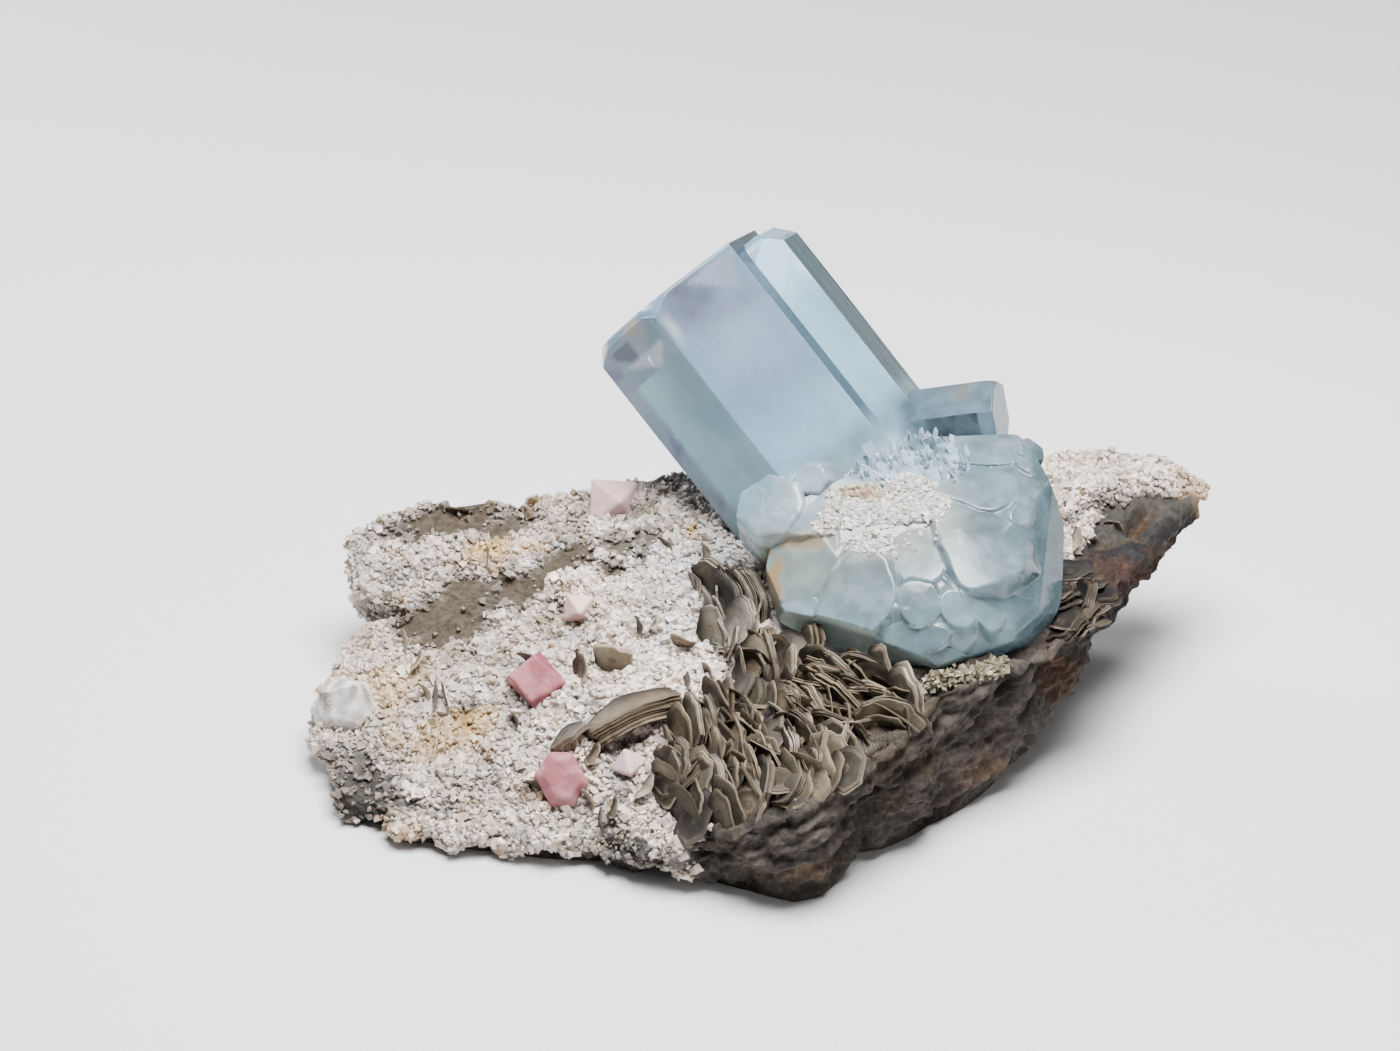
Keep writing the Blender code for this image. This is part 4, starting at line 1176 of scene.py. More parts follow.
crystal_mesh = joined("aquamarine", (squat, tall_shell, twin_shell, back_shell, *plates))
crystal_points = mesh_points(crystal_mesh)
print("joined crystal", len(crystal_points), "points")

# %% [markdown]
# ## Aquamarine: clear, milky, stained
#
# The gem is pale blue because it is thick: plain absorption in the volume gives a
# deeper colour where more crystal lies behind, which no surface paint can.  It is not
# evenly clear.  Fine fluid veils make the lower part milky and the last centimetre of
# the tall pair is glass-clear.  Lavender clouds and three-cornered wedges near its end
# are painted reflections.  Those are masks stored per face corner: `milk` lowers the
# transmission, `tone` colours what is left.  Corners and not vertices, so that two faces
# can differ right up to their shared edge.

# %% Aquamarine masks
# the sugary band: middle (across, rise), half sizes, share
SUGAR_SPOTS = (
    (24, 1.8, 4.6, 2.4, 1.6), (31, 3, 6, 2.8, 3), (37, 3.4, 3.6, 2.4, 1.6),
    (27.5, -2.8, 4.6, 1.9, 1.2), (20.6, 0, 2.4, 1.6, 0.5), (22.4, 4.6, 2.4, 1.6, 0.6),
    (34.5, 6.8, 4.4, 1.6, 1.2), (31, 0.6, 9, 5.5, 0.7), (26.8, 5.7, 3.4, 1, 0.8),
)


def on_board(points):
    """Across, rise and out of working-frame points."""
    away = points - BOARD_ORIGIN
    return away @ ACROSS, away @ RISE, away @ OUT


def corner_places(mesh):
    """Working-frame place and face normal of every face corner, in face order."""
    vertex = np.empty(len(mesh.loops), np.int32)
    mesh.loops.foreach_get("vertex_index", vertex)
    normals = np.empty(3 * len(mesh.polygons), np.float32)
    mesh.polygons.foreach_get("normal", normals)
    sides = np.empty(len(mesh.polygons), np.int32)
    mesh.polygons.foreach_get("loop_total", sides)
    return mesh_points(mesh)[vertex], np.repeat(normals.reshape(-1, 3), sides, axis=0)


def spot(x, y, middle, half):
    """A soft round blot: exp of minus the squared distance in half sizes."""
    return np.exp(-((x - middle[0]) / half[0]) ** 2 - ((y - middle[1]) / half[1]) ** 2)


def wedge(x, y, middle, half, lean):
    """A three-cornered blot with hard edges, pointing down x."""
    u, v = (x - middle[0]) / half[0], (y - middle[1]) / half[1] + lean * (x - middle[0])
    return fade(-1.0, -0.9, u) * fade(1.0, 0.9, u) * fade(
        0.05, -0.05, np.abs(v) - 0.5 * (1 + u))


def tall_masks(points, normals):
    """Which face of the tall pair each corner is on, with its own coordinates."""
    away = points - TALL_FOOT
    along, front, beside = away @ TALL_AXIS, away @ TALL_FIRST, away @ TALL_BESIDE
    tall = fade(14.0, 20.0, along) * fade(56, 50, away @ ACROSS + 28.8)
    left_way = 0.5 * TALL_FIRST - 0.866 * TALL_BESIDE
    right_way = 0.5 * TALL_FIRST + 0.866 * TALL_BESIDE
    on_left, on_front, on_right = (
        fade(0.88, 0.93, normals @ way) * tall
        for way in (left_way, TALL_FIRST, right_way)
    )
    near = fade(12.6, 13.2, front)
    inner = fade(12.9, 12.4, beside)
    return (along, front, beside), tall, {
        "left": on_left, "front": on_front * near, "groove": on_right * inner,
        "twin": on_front * (1 - near), "twin side": on_right * (1 - inner),
    }


class Skin:
    """The face corners of the joined crystal, with the tint and milk laid so far."""

    def __init__(self, points, normals):
        self.points, self.normals, self.board = points, normals, on_board(points)
        self.axes, self.tall, self.face = tall_masks(points, normals)
        self.squat = 1 - self.tall
        self.cloud, self.fine = layered(points, 9.0, 3), layered(points, 2.2, 3)
        self.broad = layered(points, 3.6, 2)
        self.tint = np.array((0.165, 0.255, 0.345)) * np.ones((len(points), 1))
        self.milk = 0.78 + 0.05 * self.cloud

    def lay(self, colour, share):
        """Lay a colour over the tint: share 0 leaves it, 1 covers it."""
        share = np.clip(share, 0, 1)[:, None]
        self.tint += (np.array(colour) - self.tint) * share


skin = Skin(*corner_places(crystal_mesh))
print(len(skin.points), "face corners,", round(float(skin.tall.mean()), 2), "on the tall pair")

# %% Squat crystal: painted light and shade per lobe, paler toward its lower edge
def tint_squat(skin):
    """Painted light and shade on milky lobes, a green side, a painted-bright underside, the
    sugary and icy patches.
    """
    across, rise, out = skin.board
    squat, fine = skin.squat, skin.fine
    which = end_shapes(across, rise).argmax(axis=-1)
    facing = fade(0.0, 0.3, skin.normals @ OUT) * squat
    # painted light and shade: each lobe its own brightness, lighter toward its lower edge,
    # darker toward its upper one
    lobe_light_and_shade = np.array([0.92] + [plan[5] for plan in LOBE_PLANS])[which]
    levels = np.array([-4.0] + [plan[0][1] for plan in LOBE_PLANS])[which]
    halves = np.array([22.0] + [plan[4] for plan in LOBE_PLANS])[which]
    lobe_light_and_shade = lobe_light_and_shade * (1 - 0.17 * np.clip((rise - levels) / halves, -1, 1))
    skin.lay((0.185, 0.272, 0.308), squat)
    skin.tint *= (1 + (lobe_light_and_shade - 1.0) * facing)[:, None]
    skin.lay((0.36, 0.44, 0.475), 0.22 * facing * fade(0.1, 1.0, fine + skin.cloud))
    # painted shade: faces that look up are painted darker against the light from above
    upward_shade = fade(0.4, 0.95, skin.normals[:, 2]) * squat
    skin.tint *= (1 - 0.34 * upward_shade)[:, None]
    right_side = fade(52, 55, across - 0.15 * rise) * squat
    skin.lay((0.125, 0.19, 0.22), 0.8 * right_side)
    green = spot(across, rise, (17, -7), (7.0, 5.0)) * squat
    skin.lay((0.2, 0.25, 0.222), 0.9 * green)
    # painted light: the downward-facing underside is painted pale green, as if lit from below
    under = fade(-0.1, -0.4, skin.normals[:, 2]) * fade(46, 32, across)
    under = under * squat * (out > 9.0)
    skin.lay((0.66, 0.83, 0.79), 0.9 * under * (1 + 0.3 * fine))
    sugared = sum(spot(across, rise, each[:2], each[2:4]) for each in SUGAR_SPOTS)
    skin.lay((0.34, 0.345, 0.33), np.clip(1.1 * sugared, 0, 0.9) * squat)
    iced = icy_share(across, rise) * facing
    skin.lay((0.23, 0.36, 0.46), 0.9 * squat * spot(across, rise, (31, 15), (10, 6)))
    skin.lay((0.35, 0.47, 0.56), iced * (0.7 + 0.5 * fine))
    skin.lay((0.25, 0.34, 0.4), 0.8 * squat * spot(across, rise, (14, 4), (8, 7)))
    skin.lay((0.36, 0.45, 0.5), squat * spot(across, rise, (18, 7), (5, 4)))
    skin.milk = skin.milk + squat * (-0.1 + 0.14 * fine) + 0.4 * under
    skin.milk = skin.milk - 0.25 * right_side


tint_squat(skin)
print("squat crystal: mean tint", skin.tint[skin.squat > 0.5].mean(axis=0).round(3))

# %% Tall prism's left face: teal, darker by the ridge, clear past a straight line
def tint_left_face(skin):
    """The clear window, its dark and pale wedges of painted reflection, and the bevel along
    the rim.
    """
    along, front, _ = skin.axes
    left = skin.face["left"]
    window = fade(44.25, 44.55, along) * left
    skin.lay((0.4, 0.68, 0.8), left)
    deep = fade(15, 44, along) * fade(3, 15, front)
    skin.lay((0.15, 0.275, 0.34), 0.9 * left * deep)
    skin.lay((0.235, 0.325, 0.42), 0.95 * window)
    skin.lay((0.15, 0.25, 0.3), window * fade(46.5, 49.5, along) * (front > 9))
    # painted reflections: a dark and a pale three-cornered wedge in the window
    dark = wedge(along, front, (49.0, 6.4), (2.6, 3.0), 0.2)
    skin.lay((0.085, 0.11, 0.165), window * dark)
    pale = wedge(along, front, (46.4, 9.6), (1.9, 5.5), 0.1)
    skin.lay((0.52, 0.61, 0.69), window * pale)
    skin.lay((0.33, 0.4, 0.49), window * fade(-0.1, 0.9, skin.broad) * 0.6)
    rim = fade(3.8, 2.6, front) * left
    skin.lay((0.3, 0.37, 0.47), 0.8 * rim)
    skin.lay((0.15, 0.17, 0.33), 0.8 * rim * fade(0.2, 0.9, skin.broad))


tint_left_face(skin)
print("clear window:", int((skin.face["left"] * (skin.axes[0] > 44.4) > 0.5).sum()), "corners")

# %% Tall prism's front face: painted lavender and pale reflections, milky streak near the end
def tint_front_face(skin):
    """Clouds under the end of the front face, the lavender ones and the pale wedge painted
    reflections; the end itself is clearer.
    """
    along, _, beside = skin.axes
    on_front = skin.face["front"]
    wide = spot(along, beside, (37, 0), (16, 10))
    skin.lay((0.16, 0.215, 0.3), 0.75 * wide * on_front)
    skin.lay((0.21, 0.365, 0.48), on_front * fade(32, 16, along))
    # painted reflections: lavender clouds and a pale wedge under the end of the front face
    lilac_reflection = spot(along, beside, (50.6, -3.4), (5.0, 6.5)) * (0.95 + 0.45 * skin.broad)
    skin.lay((0.092, 0.088, 0.125), lilac_reflection * on_front)
    haze_reflection = spot(along, beside, (45.2, 3.5), (2.4, 8)) * (1 + 0.5 * skin.broad)
    skin.lay((0.12, 0.118, 0.17), 0.4 * on_front * haze_reflection)
    pale = wedge(along, beside, (50.0, 4.6), (2.9, 5.0), 0.05)
    skin.lay((0.24, 0.275, 0.35), 0.9 * on_front * pale)
    streak = spot(along, beside, (48.2, -7.6), (2.6, 0.7))
    skin.lay((0.43, 0.48, 0.54), 0.8 * on_front * streak)
    clearer = 0.16 * fade(44, 53, along) * skin.tall
    skin.milk = skin.milk - clearer - 0.14 * skin.face["left"]


tint_front_face(skin)
print("front face:", int((skin.face["front"] > 0.5).sum()), "corners")

# %% Groove, twin prism and its dark side
def tint_twin(skin):
    """A groove and a side painted near-black as shade, and a bright front that pales upward.
    """
    along, front, beside = skin.axes
    groove, twin, side = (skin.face[key] for key in ("groove", "twin", "twin side"))
    # painted shade: the groove face and the twin's right side are painted near-black
    skin.lay((0.018, 0.034, 0.044), groove)
    skin.lay((0.235, 0.39, 0.5), twin)
    skin.lay((0.48, 0.69, 0.9), twin * fade(38, 50, along + 2 * skin.fine))
    # painted reflection: a grey three-cornered wedge near the twin's end
    grey = wedge(along, beside, (50.4, 12.6), (2.2, 3.0), -0.3)
    skin.lay((0.16, 0.24, 0.29), 0.6 * twin * grey)
    skin.lay((0.01, 0.04, 0.052), side)
    shadow = fade(30, 50, along) * fade(17.2, 15.6, beside - 0.15 * (front - 7))
    skin.lay((0.006, 0.012, 0.016), 0.9 * side * shadow)
    skin.milk = skin.milk - 0.1 * side - 0.1 * groove


tint_twin(skin)
print("groove:", int((skin.face["groove"] > 0.5).sum()), "corners")

# %% Small prism behind: pale top face, a dark window framed below it
def tint_back_prism(skin):
    """Its faces by direction, and the dark pane inside the lower one's frame."""
    away = skin.points - BACK_END
    run, side, level = away @ BACK_AXIS, away @ BACK_BESIDE, away @ BACK_FIRST
    behind = fade(-17, -14, run) * (np.hypot(side, level) < 8.0) * (skin.board[1] > 8.0)
    lower_way = 0.5 * BACK_FIRST + 0.866 * BACK_BESIDE
    top_face = fade(0.85, 0.93, skin.normals @ BACK_FIRST) * behind
    low_face = fade(0.85, 0.93, skin.normals @ lower_way) * behind
    skin.lay((0.105, 0.165, 0.205), behind)
    skin.lay((0.11, 0.17, 0.215), top_face)
    rusty = spot(run, side, (-5.2, -1.4), (1.8, 2.0))
    skin.lay((0.26, 0.22, 0.19), 0.6 * top_face * rusty)
    skin.lay((0.19, 0.265, 0.31), low_face)
    pane = fade(-2.4, -2.8, run) * fade(-12.5, -11.0, run)
    pane = pane * fade(5.75, 5.45, 0.5 * side * 1.155 + 0.5 * level)
    skin.lay((0.018, 0.024, 0.034), 0.95 * low_face * pane * (0.8 + 0.3 * skin.fine))
    skin.milk = skin.milk - 0.1 * behind + 0.15 * low_face * pane
    return pane * low_face


print("dark pane:", int((tint_back_prism(skin) > 0.5).sum()), "corners")

# %% Rust on the left lobe, tan film on the tall prism's corner
END_CORNER = TALL_FOOT + TALL_AXIS * 53.0 - TALL_SIDE * 9.5 + OUT * 12.0


def tint_stains(skin):
    """Rust and film, which also make the crystal milkier."""
    across, rise, _ = skin.board
    stain = 1.3 * spot(across, rise, (11.6, -8.0), (1.9, 5.5))
    stain = np.clip(stain * (1 + 1.1 * layered(skin.points, 1.8, 3)), 0, 1)
    smear = spot(across, rise, (16.5, -2.6), (4.5, 1.3))
    smear = 0.8 * np.clip(smear * (1 + skin.cloud), 0, 1)
    stain = np.maximum(stain, smear) * skin.squat
    skin.lay((0.23, 0.15, 0.075), 0.9 * stain)
    film = np.exp(-(np.linalg.norm(skin.points - END_CORNER, axis=1) / 2.2) ** 2)
    skin.lay((0.33, 0.27, 0.16), 0.8 * film)
    skin.milk = skin.milk + 0.5 * stain + 0.35 * film


tint_stains(skin)
skin.milk = np.clip(skin.milk, 0, 1)
paint(crystal_mesh, "milk", skin.milk, "CORNER")
paint(crystal_mesh, "tone", np.clip(skin.tint, 0, 1), "CORNER")
print("milk from", skin.milk.min().round(2), "to", skin.milk.max().round(2))

# %% Aquamarine finish
GEM_IOR = 1.577


def gem_finish(name, clear, milky, absorb, density, scale=500.0):
    """Clear crystal: painted tint, transmission from clear to milky, absorption."""
    made, shader, tree = finish(name, IOR=GEM_IOR, Specular_IOR_Level=0.18)
    tone, milk = painted(tree, "tone"), painted(tree, "milk")
    cloud = object_noise(tree, 110.0, 5.0)
    mixed = plus(tree, milk, ramp_between(tree, cloud, 0.3, 0.7, -0.07, 0.07))
    clarity = ramp_between(tree, mixed, 0.0, 1.0, clear, milky)
    shade = ramp_between(tree, cloud, 0.25, 0.75, 0.95, 1.05)
    fine = object_noise(tree, scale, 4.0)
    frost = ramp_between(tree, mixed, 0.3, 0.9, 0.04, 0.32)
    fill(tree, shader, {
        "Transmission Weight": clarity, "Base Color": times(tree, tone, shade),
        "Roughness": plus(tree, frost, ramp_between(tree, fine, 0.4, 0.7, 0.0, 0.05)),
    })
    bumped(tree, shader, fine, 0.05, 0.0001)
    inputs = {"Color": (*absorb, 1.0), "Density": density}
    volume = node(tree, "VolumeAbsorption", inputs, "Volume")
    fill(tree, tree.nodes["Material Output"], {"Volume": volume})
    return made


aquamarine_finish = gem_finish("aquamarine_finish", 0.97, 0.18, (0.42, 0.74, 0.83), 50.0)
crystal = add_piece("aquamarine_cluster", crystal_mesh, aquamarine_finish)
crystal_mesh.set_sharp_from_angle(angle=math.radians(24.0))
# the squat crystal's skin is fine enough to need no sharp edges
ends = np.empty(2 * len(crystal_mesh.edges), np.int32)
crystal_mesh.edges.foreach_get("vertices", ends)
edge_place = crystal_points[ends.reshape(-1, 2)].mean(axis=1)
on_squat = fade(14.0, 20.0, (edge_place - TALL_FOOT) @ TALL_AXIS) < 0.5
sharp = np.empty(len(crystal_mesh.edges), bool)
sharp_edges = crystal_mesh.attributes["sharp_edge"].data
sharp_edges.foreach_get("value", sharp)
sharp_edges.foreach_set("value", sharp & ~(on_squat & (on_board(edge_place)[1] < 9.0)))
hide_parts("aquamarine_crystal")

# %% [markdown]
# ## Aquamarine: icy and sugary patches
#
# Where the crystals meet, the surface is not one face but hundreds of tiny ones: a
# bluish icy patch under the tall pair, and below it a band of white and rusty sugar.
# Texture alone would not sparkle, so both are small grains scattered on the same
# height field as the squat crystal, the icy ones slivers that point up the slope.

# %% Icy crystals
# across, rise, half sizes, share
ICY_SPOTS = (
    (33, 12, 6.5, 4, 3), (40, 10.5, 4.5, 4.5, 2.6), (28.5, 8.5, 4, 3, 1.6),
    (34.5, 14.6, 4, 2.4, 1.4), (25.4, 19.4, 0.8, 2.2, 0.3), (30.5, 13.5, 2.6, 3, 0.9),
)
ICE_LOWEST = 6.0  # slivers whose ground lies further back would float behind


def front_skin(across, rise):
    """The outer of the squat crystal's end and the tall prism's front face."""
    base = board(across, rise, np.zeros_like(across)) - TALL_FOOT
    face = (TALL_FLATS / 2 - base @ TALL_FIRST) / (OUT @ TALL_FIRST)
    on_face = np.abs(base @ TALL_SIDE + 1.0) < 9.5
    return np.maximum(end_skin(across, rise), np.where(on_face, face, -50.0))


def spots_scatter(spots, count):
    """Random places in a few ellipses, denser toward their middles."""
    spots = np.array(spots, float)
    pick = chance.choice(len(spots), count, p=spots[:, 4] / spots[:, 4].sum())
    turn, part = chance.uniform(0, 2 * math.pi, count), chance.random(count) ** 0.62
    across = spots[pick, 0] + spots[pick, 2] * part * np.cos(turn)
    return across, spots[pick, 1] + spots[pick, 3] * part * np.sin(turn)


def leaning_turns(count, axis, spread):
    """Rotations whose third axis is near the given one."""
    third = unit(axis + spread * chance.normal(size=(count, 3)))
    first = unit(np.cross(third, unit(chance.normal(size=(count, 3)))))
    return np.stack((first, np.cross(third, first), third), -1)


def grain_mesh(name, places, sizes, turns, taper, kind=(BLOCK, BLOCK_FACES)):
    """Grains at the places, joined in one mesh."""
    return new_mesh(name, *block_grains(places, sizes, turns, taper, *kind))


def paint_grains(mesh, name, values, most=0.9):
    """Store one number or colour per grain on all of its corners."""
    each = len(mesh.vertices) // len(values)
    paint(mesh, name, np.clip(np.repeat(values, each, axis=0), 0, most))


ice_across, ice_rise = spots_scatter(ICY_SPOTS, 280)
ice_kept = front_skin(ice_across, ice_rise) > ICE_LOWEST
ice_across, ice_rise = ice_across[ice_kept], ice_rise[ice_kept]
ICE_COUNT = len(ice_across)
ice_size = np.exp(chance.normal(-0.15, 0.42, ICE_COUNT))
ice_places = board(ice_across, ice_rise, front_skin(ice_across, ice_rise))
ice_places = ice_places - OUT * (0.45 * ice_size)[:, None]
ice_mesh = grain_mesh(
    "icy_crystals", ice_places, ice_size[:, None] * (1.0, 0.7, 3.0),
    leaning_turns(ICE_COUNT, unit(RISE + 0.1 * OUT - 0.35 * ACROSS), 0.28),
    chance.uniform(0.1, 0.6, ICE_COUNT), (SLIVER, SLIVER_FACES),
)
ice_tone = np.array((0.46, 0.59, 0.68)) * chance.uniform(0.85, 1.25, (ICE_COUNT, 1))
paint_grains(ice_mesh, "tone", ice_tone)
paint_grains(ice_mesh, "milk", chance.uniform(0.3, 1.0, ICE_COUNT), 1.0)
ice_finish = gem_finish("ice_finish", 0.95, 0.45, (0.7, 0.86, 0.92), 20.0)
add_piece("icy_crystals", ice_mesh, ice_finish, smooth=False)

# %% Sugary grains
SUGAR_COUNT = 1700
sugar_across, sugar_rise = spots_scatter(SUGAR_SPOTS, SUGAR_COUNT)
sugar_size = np.minimum(0.44 * np.exp(chance.normal(0.0, 0.42, SUGAR_COUNT)), 1.1)
sugar_places = board(sugar_across, sugar_rise, front_skin(sugar_across, sugar_rise))
sugar_places = sugar_places + OUT * (0.08 * sugar_size)[:, None]
sugar_mesh = grain_mesh(
    "sugary_grains", sugar_places, sugar_size[:, None] * GRAIN_SHAPE,
    random_turns(SUGAR_COUNT), chance.uniform(0.1, 0.5, SUGAR_COUNT),
)
sugar_tone = np.array((0.46, 0.45, 0.42)) * chance.uniform(0.75, 1.35, (SUGAR_COUNT, 1))
rusty = 1.7 * spot(sugar_across, sugar_rise, (26.5, 5.4), (4.4, 1.2))
rusty = np.maximum(rusty, 0.6 * spot(sugar_across, sugar_rise, (21, -1.6), (1.4, 2.0)))
rusty = np.clip(rusty * chance.uniform(0.2, 1.5, SUGAR_COUNT), 0, 1)[:, None]
sugar_tone = sugar_tone + (np.array((0.34, 0.235, 0.15)) - sugar_tone) * rusty
paint_grains(sugar_mesh, "tone", sugar_tone)
add_piece("sugary_grains", sugar_mesh, albite_finish, smooth=False)

# %% [markdown]
# Under the squat crystal a thin yellowish fringe of albite clings to its lower edge.

# %% Yellowish fringe
FRINGE_COUNT = 700
fringe_part = chance.random(FRINGE_COUNT)
fringe_x = 36.0 + 13.5 * fringe_part + chance.normal(0, 0.4, FRINGE_COUNT)
fringe_y = -34.6 + 4.2 * fringe_part**2 + chance.normal(0, 0.7, FRINGE_COUNT)
fringe_size = 0.52 * np.exp(chance.normal(0.0, 0.35, FRINGE_COUNT))
fringe_z = rock_height(fringe_x, fringe_y) + chance.uniform(-0.8, 1.6, FRINGE_COUNT)
fringe_mesh = grain_mesh(
    "yellow_fringe", np.stack((fringe_x, fringe_y, fringe_z), -1),
    fringe_size[:, None] * (1.6, 1.0, 0.8),
    leaning_turns(FRINGE_COUNT, unit(OUT - RISE), 0.35),
    chance.uniform(0.1, 0.4, FRINGE_COUNT), (SLIVER, SLIVER_FACES),
)
fringe_tone = np.array((0.18, 0.155, 0.1)) * chance.uniform(0.5, 1.3, (FRINGE_COUNT, 1))
paint_grains(fringe_mesh, "tone", fringe_tone)
add_piece("yellow_fringe", fringe_mesh, albite_finish, smooth=False)

# %% [markdown]
# ## Veils inside the crystal
#
# Near the clear end a few flat healed cracks catch light as pale feathers.  They are
# sealed inside: thin closed plates whose Alpha is noise.

# %% Inner veils
# along, front, beside of the middle, two in-plane directions (same axes), half sizes
VEILS = (
    (46.5, 8, -11.5, (0.9, 0, 0.45), (0.2, 0.8, -0.4), 3.6, 2.6),
    (48.5, 4, -13, (0.5, 0.2, 0.8), (0.8, 0.4, -0.5), 2.6, 2.2),
    (45, 12, -4, (0.6, 0.1, 0.8), (0.8, -0.3, -0.5), 4.8, 3.4),
    (49, 12.6, 2.5, (0.8, 0, -0.6), (0.5, 0.4, 0.7), 3.4, 2.6),
    (47, 5.5, 15.5, (0.9, 0, 0.3), (0.2, 0.7, 0.6), 3.4, 2.4),
)
VEIL_THICKNESS = 0.05


def veil_shell(along, front, beside, first, second, half_first, half_second):
    """A thin bent plate with corners at the ends of its two directions."""
    frame_of = np.stack((TALL_AXIS, TALL_FIRST, TALL_BESIDE))
    middle = TALL_FOOT + np.array((along, front, beside)) @ frame_of
    first = unit(np.array(first) @ frame_of)
    second = np.array(second) @ frame_of
    second = unit(second - first * (second @ first))
    normal = np.cross(first, second)
    rings = np.array((0.3, 0.6, 0.85, 1.0, 1.0, 0.85, 0.6, 0.3))[:, None]
    side = np.array((-1, -1, -1, -1, 1, 1, 1, 1))[:, None] * VEIL_THICKNESS / 2
    turn = full_turn(30)
    shape = 1.0 / (np.abs(np.cos(turn)) + np.abs(np.sin(turn)))
    shape = shape * (1 + 0.14 * np.sin(3 * turn + along) + 0.08 * np.sin(7 * turn))
    u, v = rings * shape * np.cos(turn), rings * shape * np.sin(turn)
    bend = 0.25 * (u * u - v * v) + side
    place = middle + (u * half_first)[..., None] * first
    place = place + (v * half_second)[..., None] * second + bend[..., None] * normal
    poles = np.stack((
        middle - normal * VEIL_THICKNESS / 2, middle + normal * VEIL_THICKNESS / 2,
    ))
    return np.concatenate((place.reshape(-1, 3), poles)), tube_faces(8, 30)


veil_parts = [veil_shell(*veil) for veil in VEILS]
veil_points = np.concatenate([points for points, _ in veil_parts])
starts = np.cumsum([0] + [len(points) for points, _ in veil_parts[:-1]])
veil_faces = np.concatenate([
    faces + start for (_, faces), start in zip(veil_parts, starts)
])
veil_finish, shader, tree = finish("veil_finish", (0.75, 0.8, 0.88), Roughness=0.4)
veil_cloud = object_noise(tree, 420.0, 6.0)
fill(tree, shader, {"Alpha": ramp_between(tree, veil_cloud, 0.42, 0.66, 0.0, 0.5)})
veil_mesh = new_mesh("inner_veils", veil_points, veil_faces)
add_piece("inner_veils", veil_mesh, veil_finish)

# %% [markdown]
# ## Mica books
#
# Mica splits in sheets, so each crystal is a *book*: a curved six-sided stack, standing
# on edge, whose rim shows the sheets as fine steps.  Single sheets laid over each other
# would need hundreds of shells; one shell per book does it, because only the rim shows
# the layers.  The rim is a profile carried round the outline: out along a sheet, in at
# the gap, out again at the next, each sheet with its own reach.  Then it is all bent.

# %% Mica book shells
BOOK_LIFT = 2.4
SHEET_PART = 0.7
SIX_SIDED = 0.8


def book_profile(count, layers):
    """Reach of the rim's rows per book, shape (count, rows), and their level 0..1."""
    recede = chance.uniform(0.0, 0.2, (count, layers)) ** 1.2
    reach, height = [], []
    for layer in range(layers):
        after = min(layer + 1, layers - 1)
        own, other = 1 - recede[:, layer], 1 - recede[:, after]
        low, high = layer / layers, (layer + SHEET_PART) / layers
        reach += [own, own]
        height += [low, high]
        if layer + 1 < layers:
            gap = np.minimum(own, other) - 0.04
            reach += [gap, gap]
            height += [high, (layer + 1) / layers]
    inner = [0.82, 0.55, 0.28]
    reach = [reach[0] * part for part in reversed(inner)] + reach
    height = [0.0] * 3 + height + [height[-1]] * 3
    reach = reach + [reach[-1] * part for part in inner]
    return np.stack(reach, 1), np.array(height)


def six_sided(angle):
    """Distance to a hexagon's side in each direction: cos 30 / cos(t mod 60 - 30)."""
    return math.cos(math.pi / 6) / np.cos(np.mod(angle, math.pi / 3) - math.pi / 6)


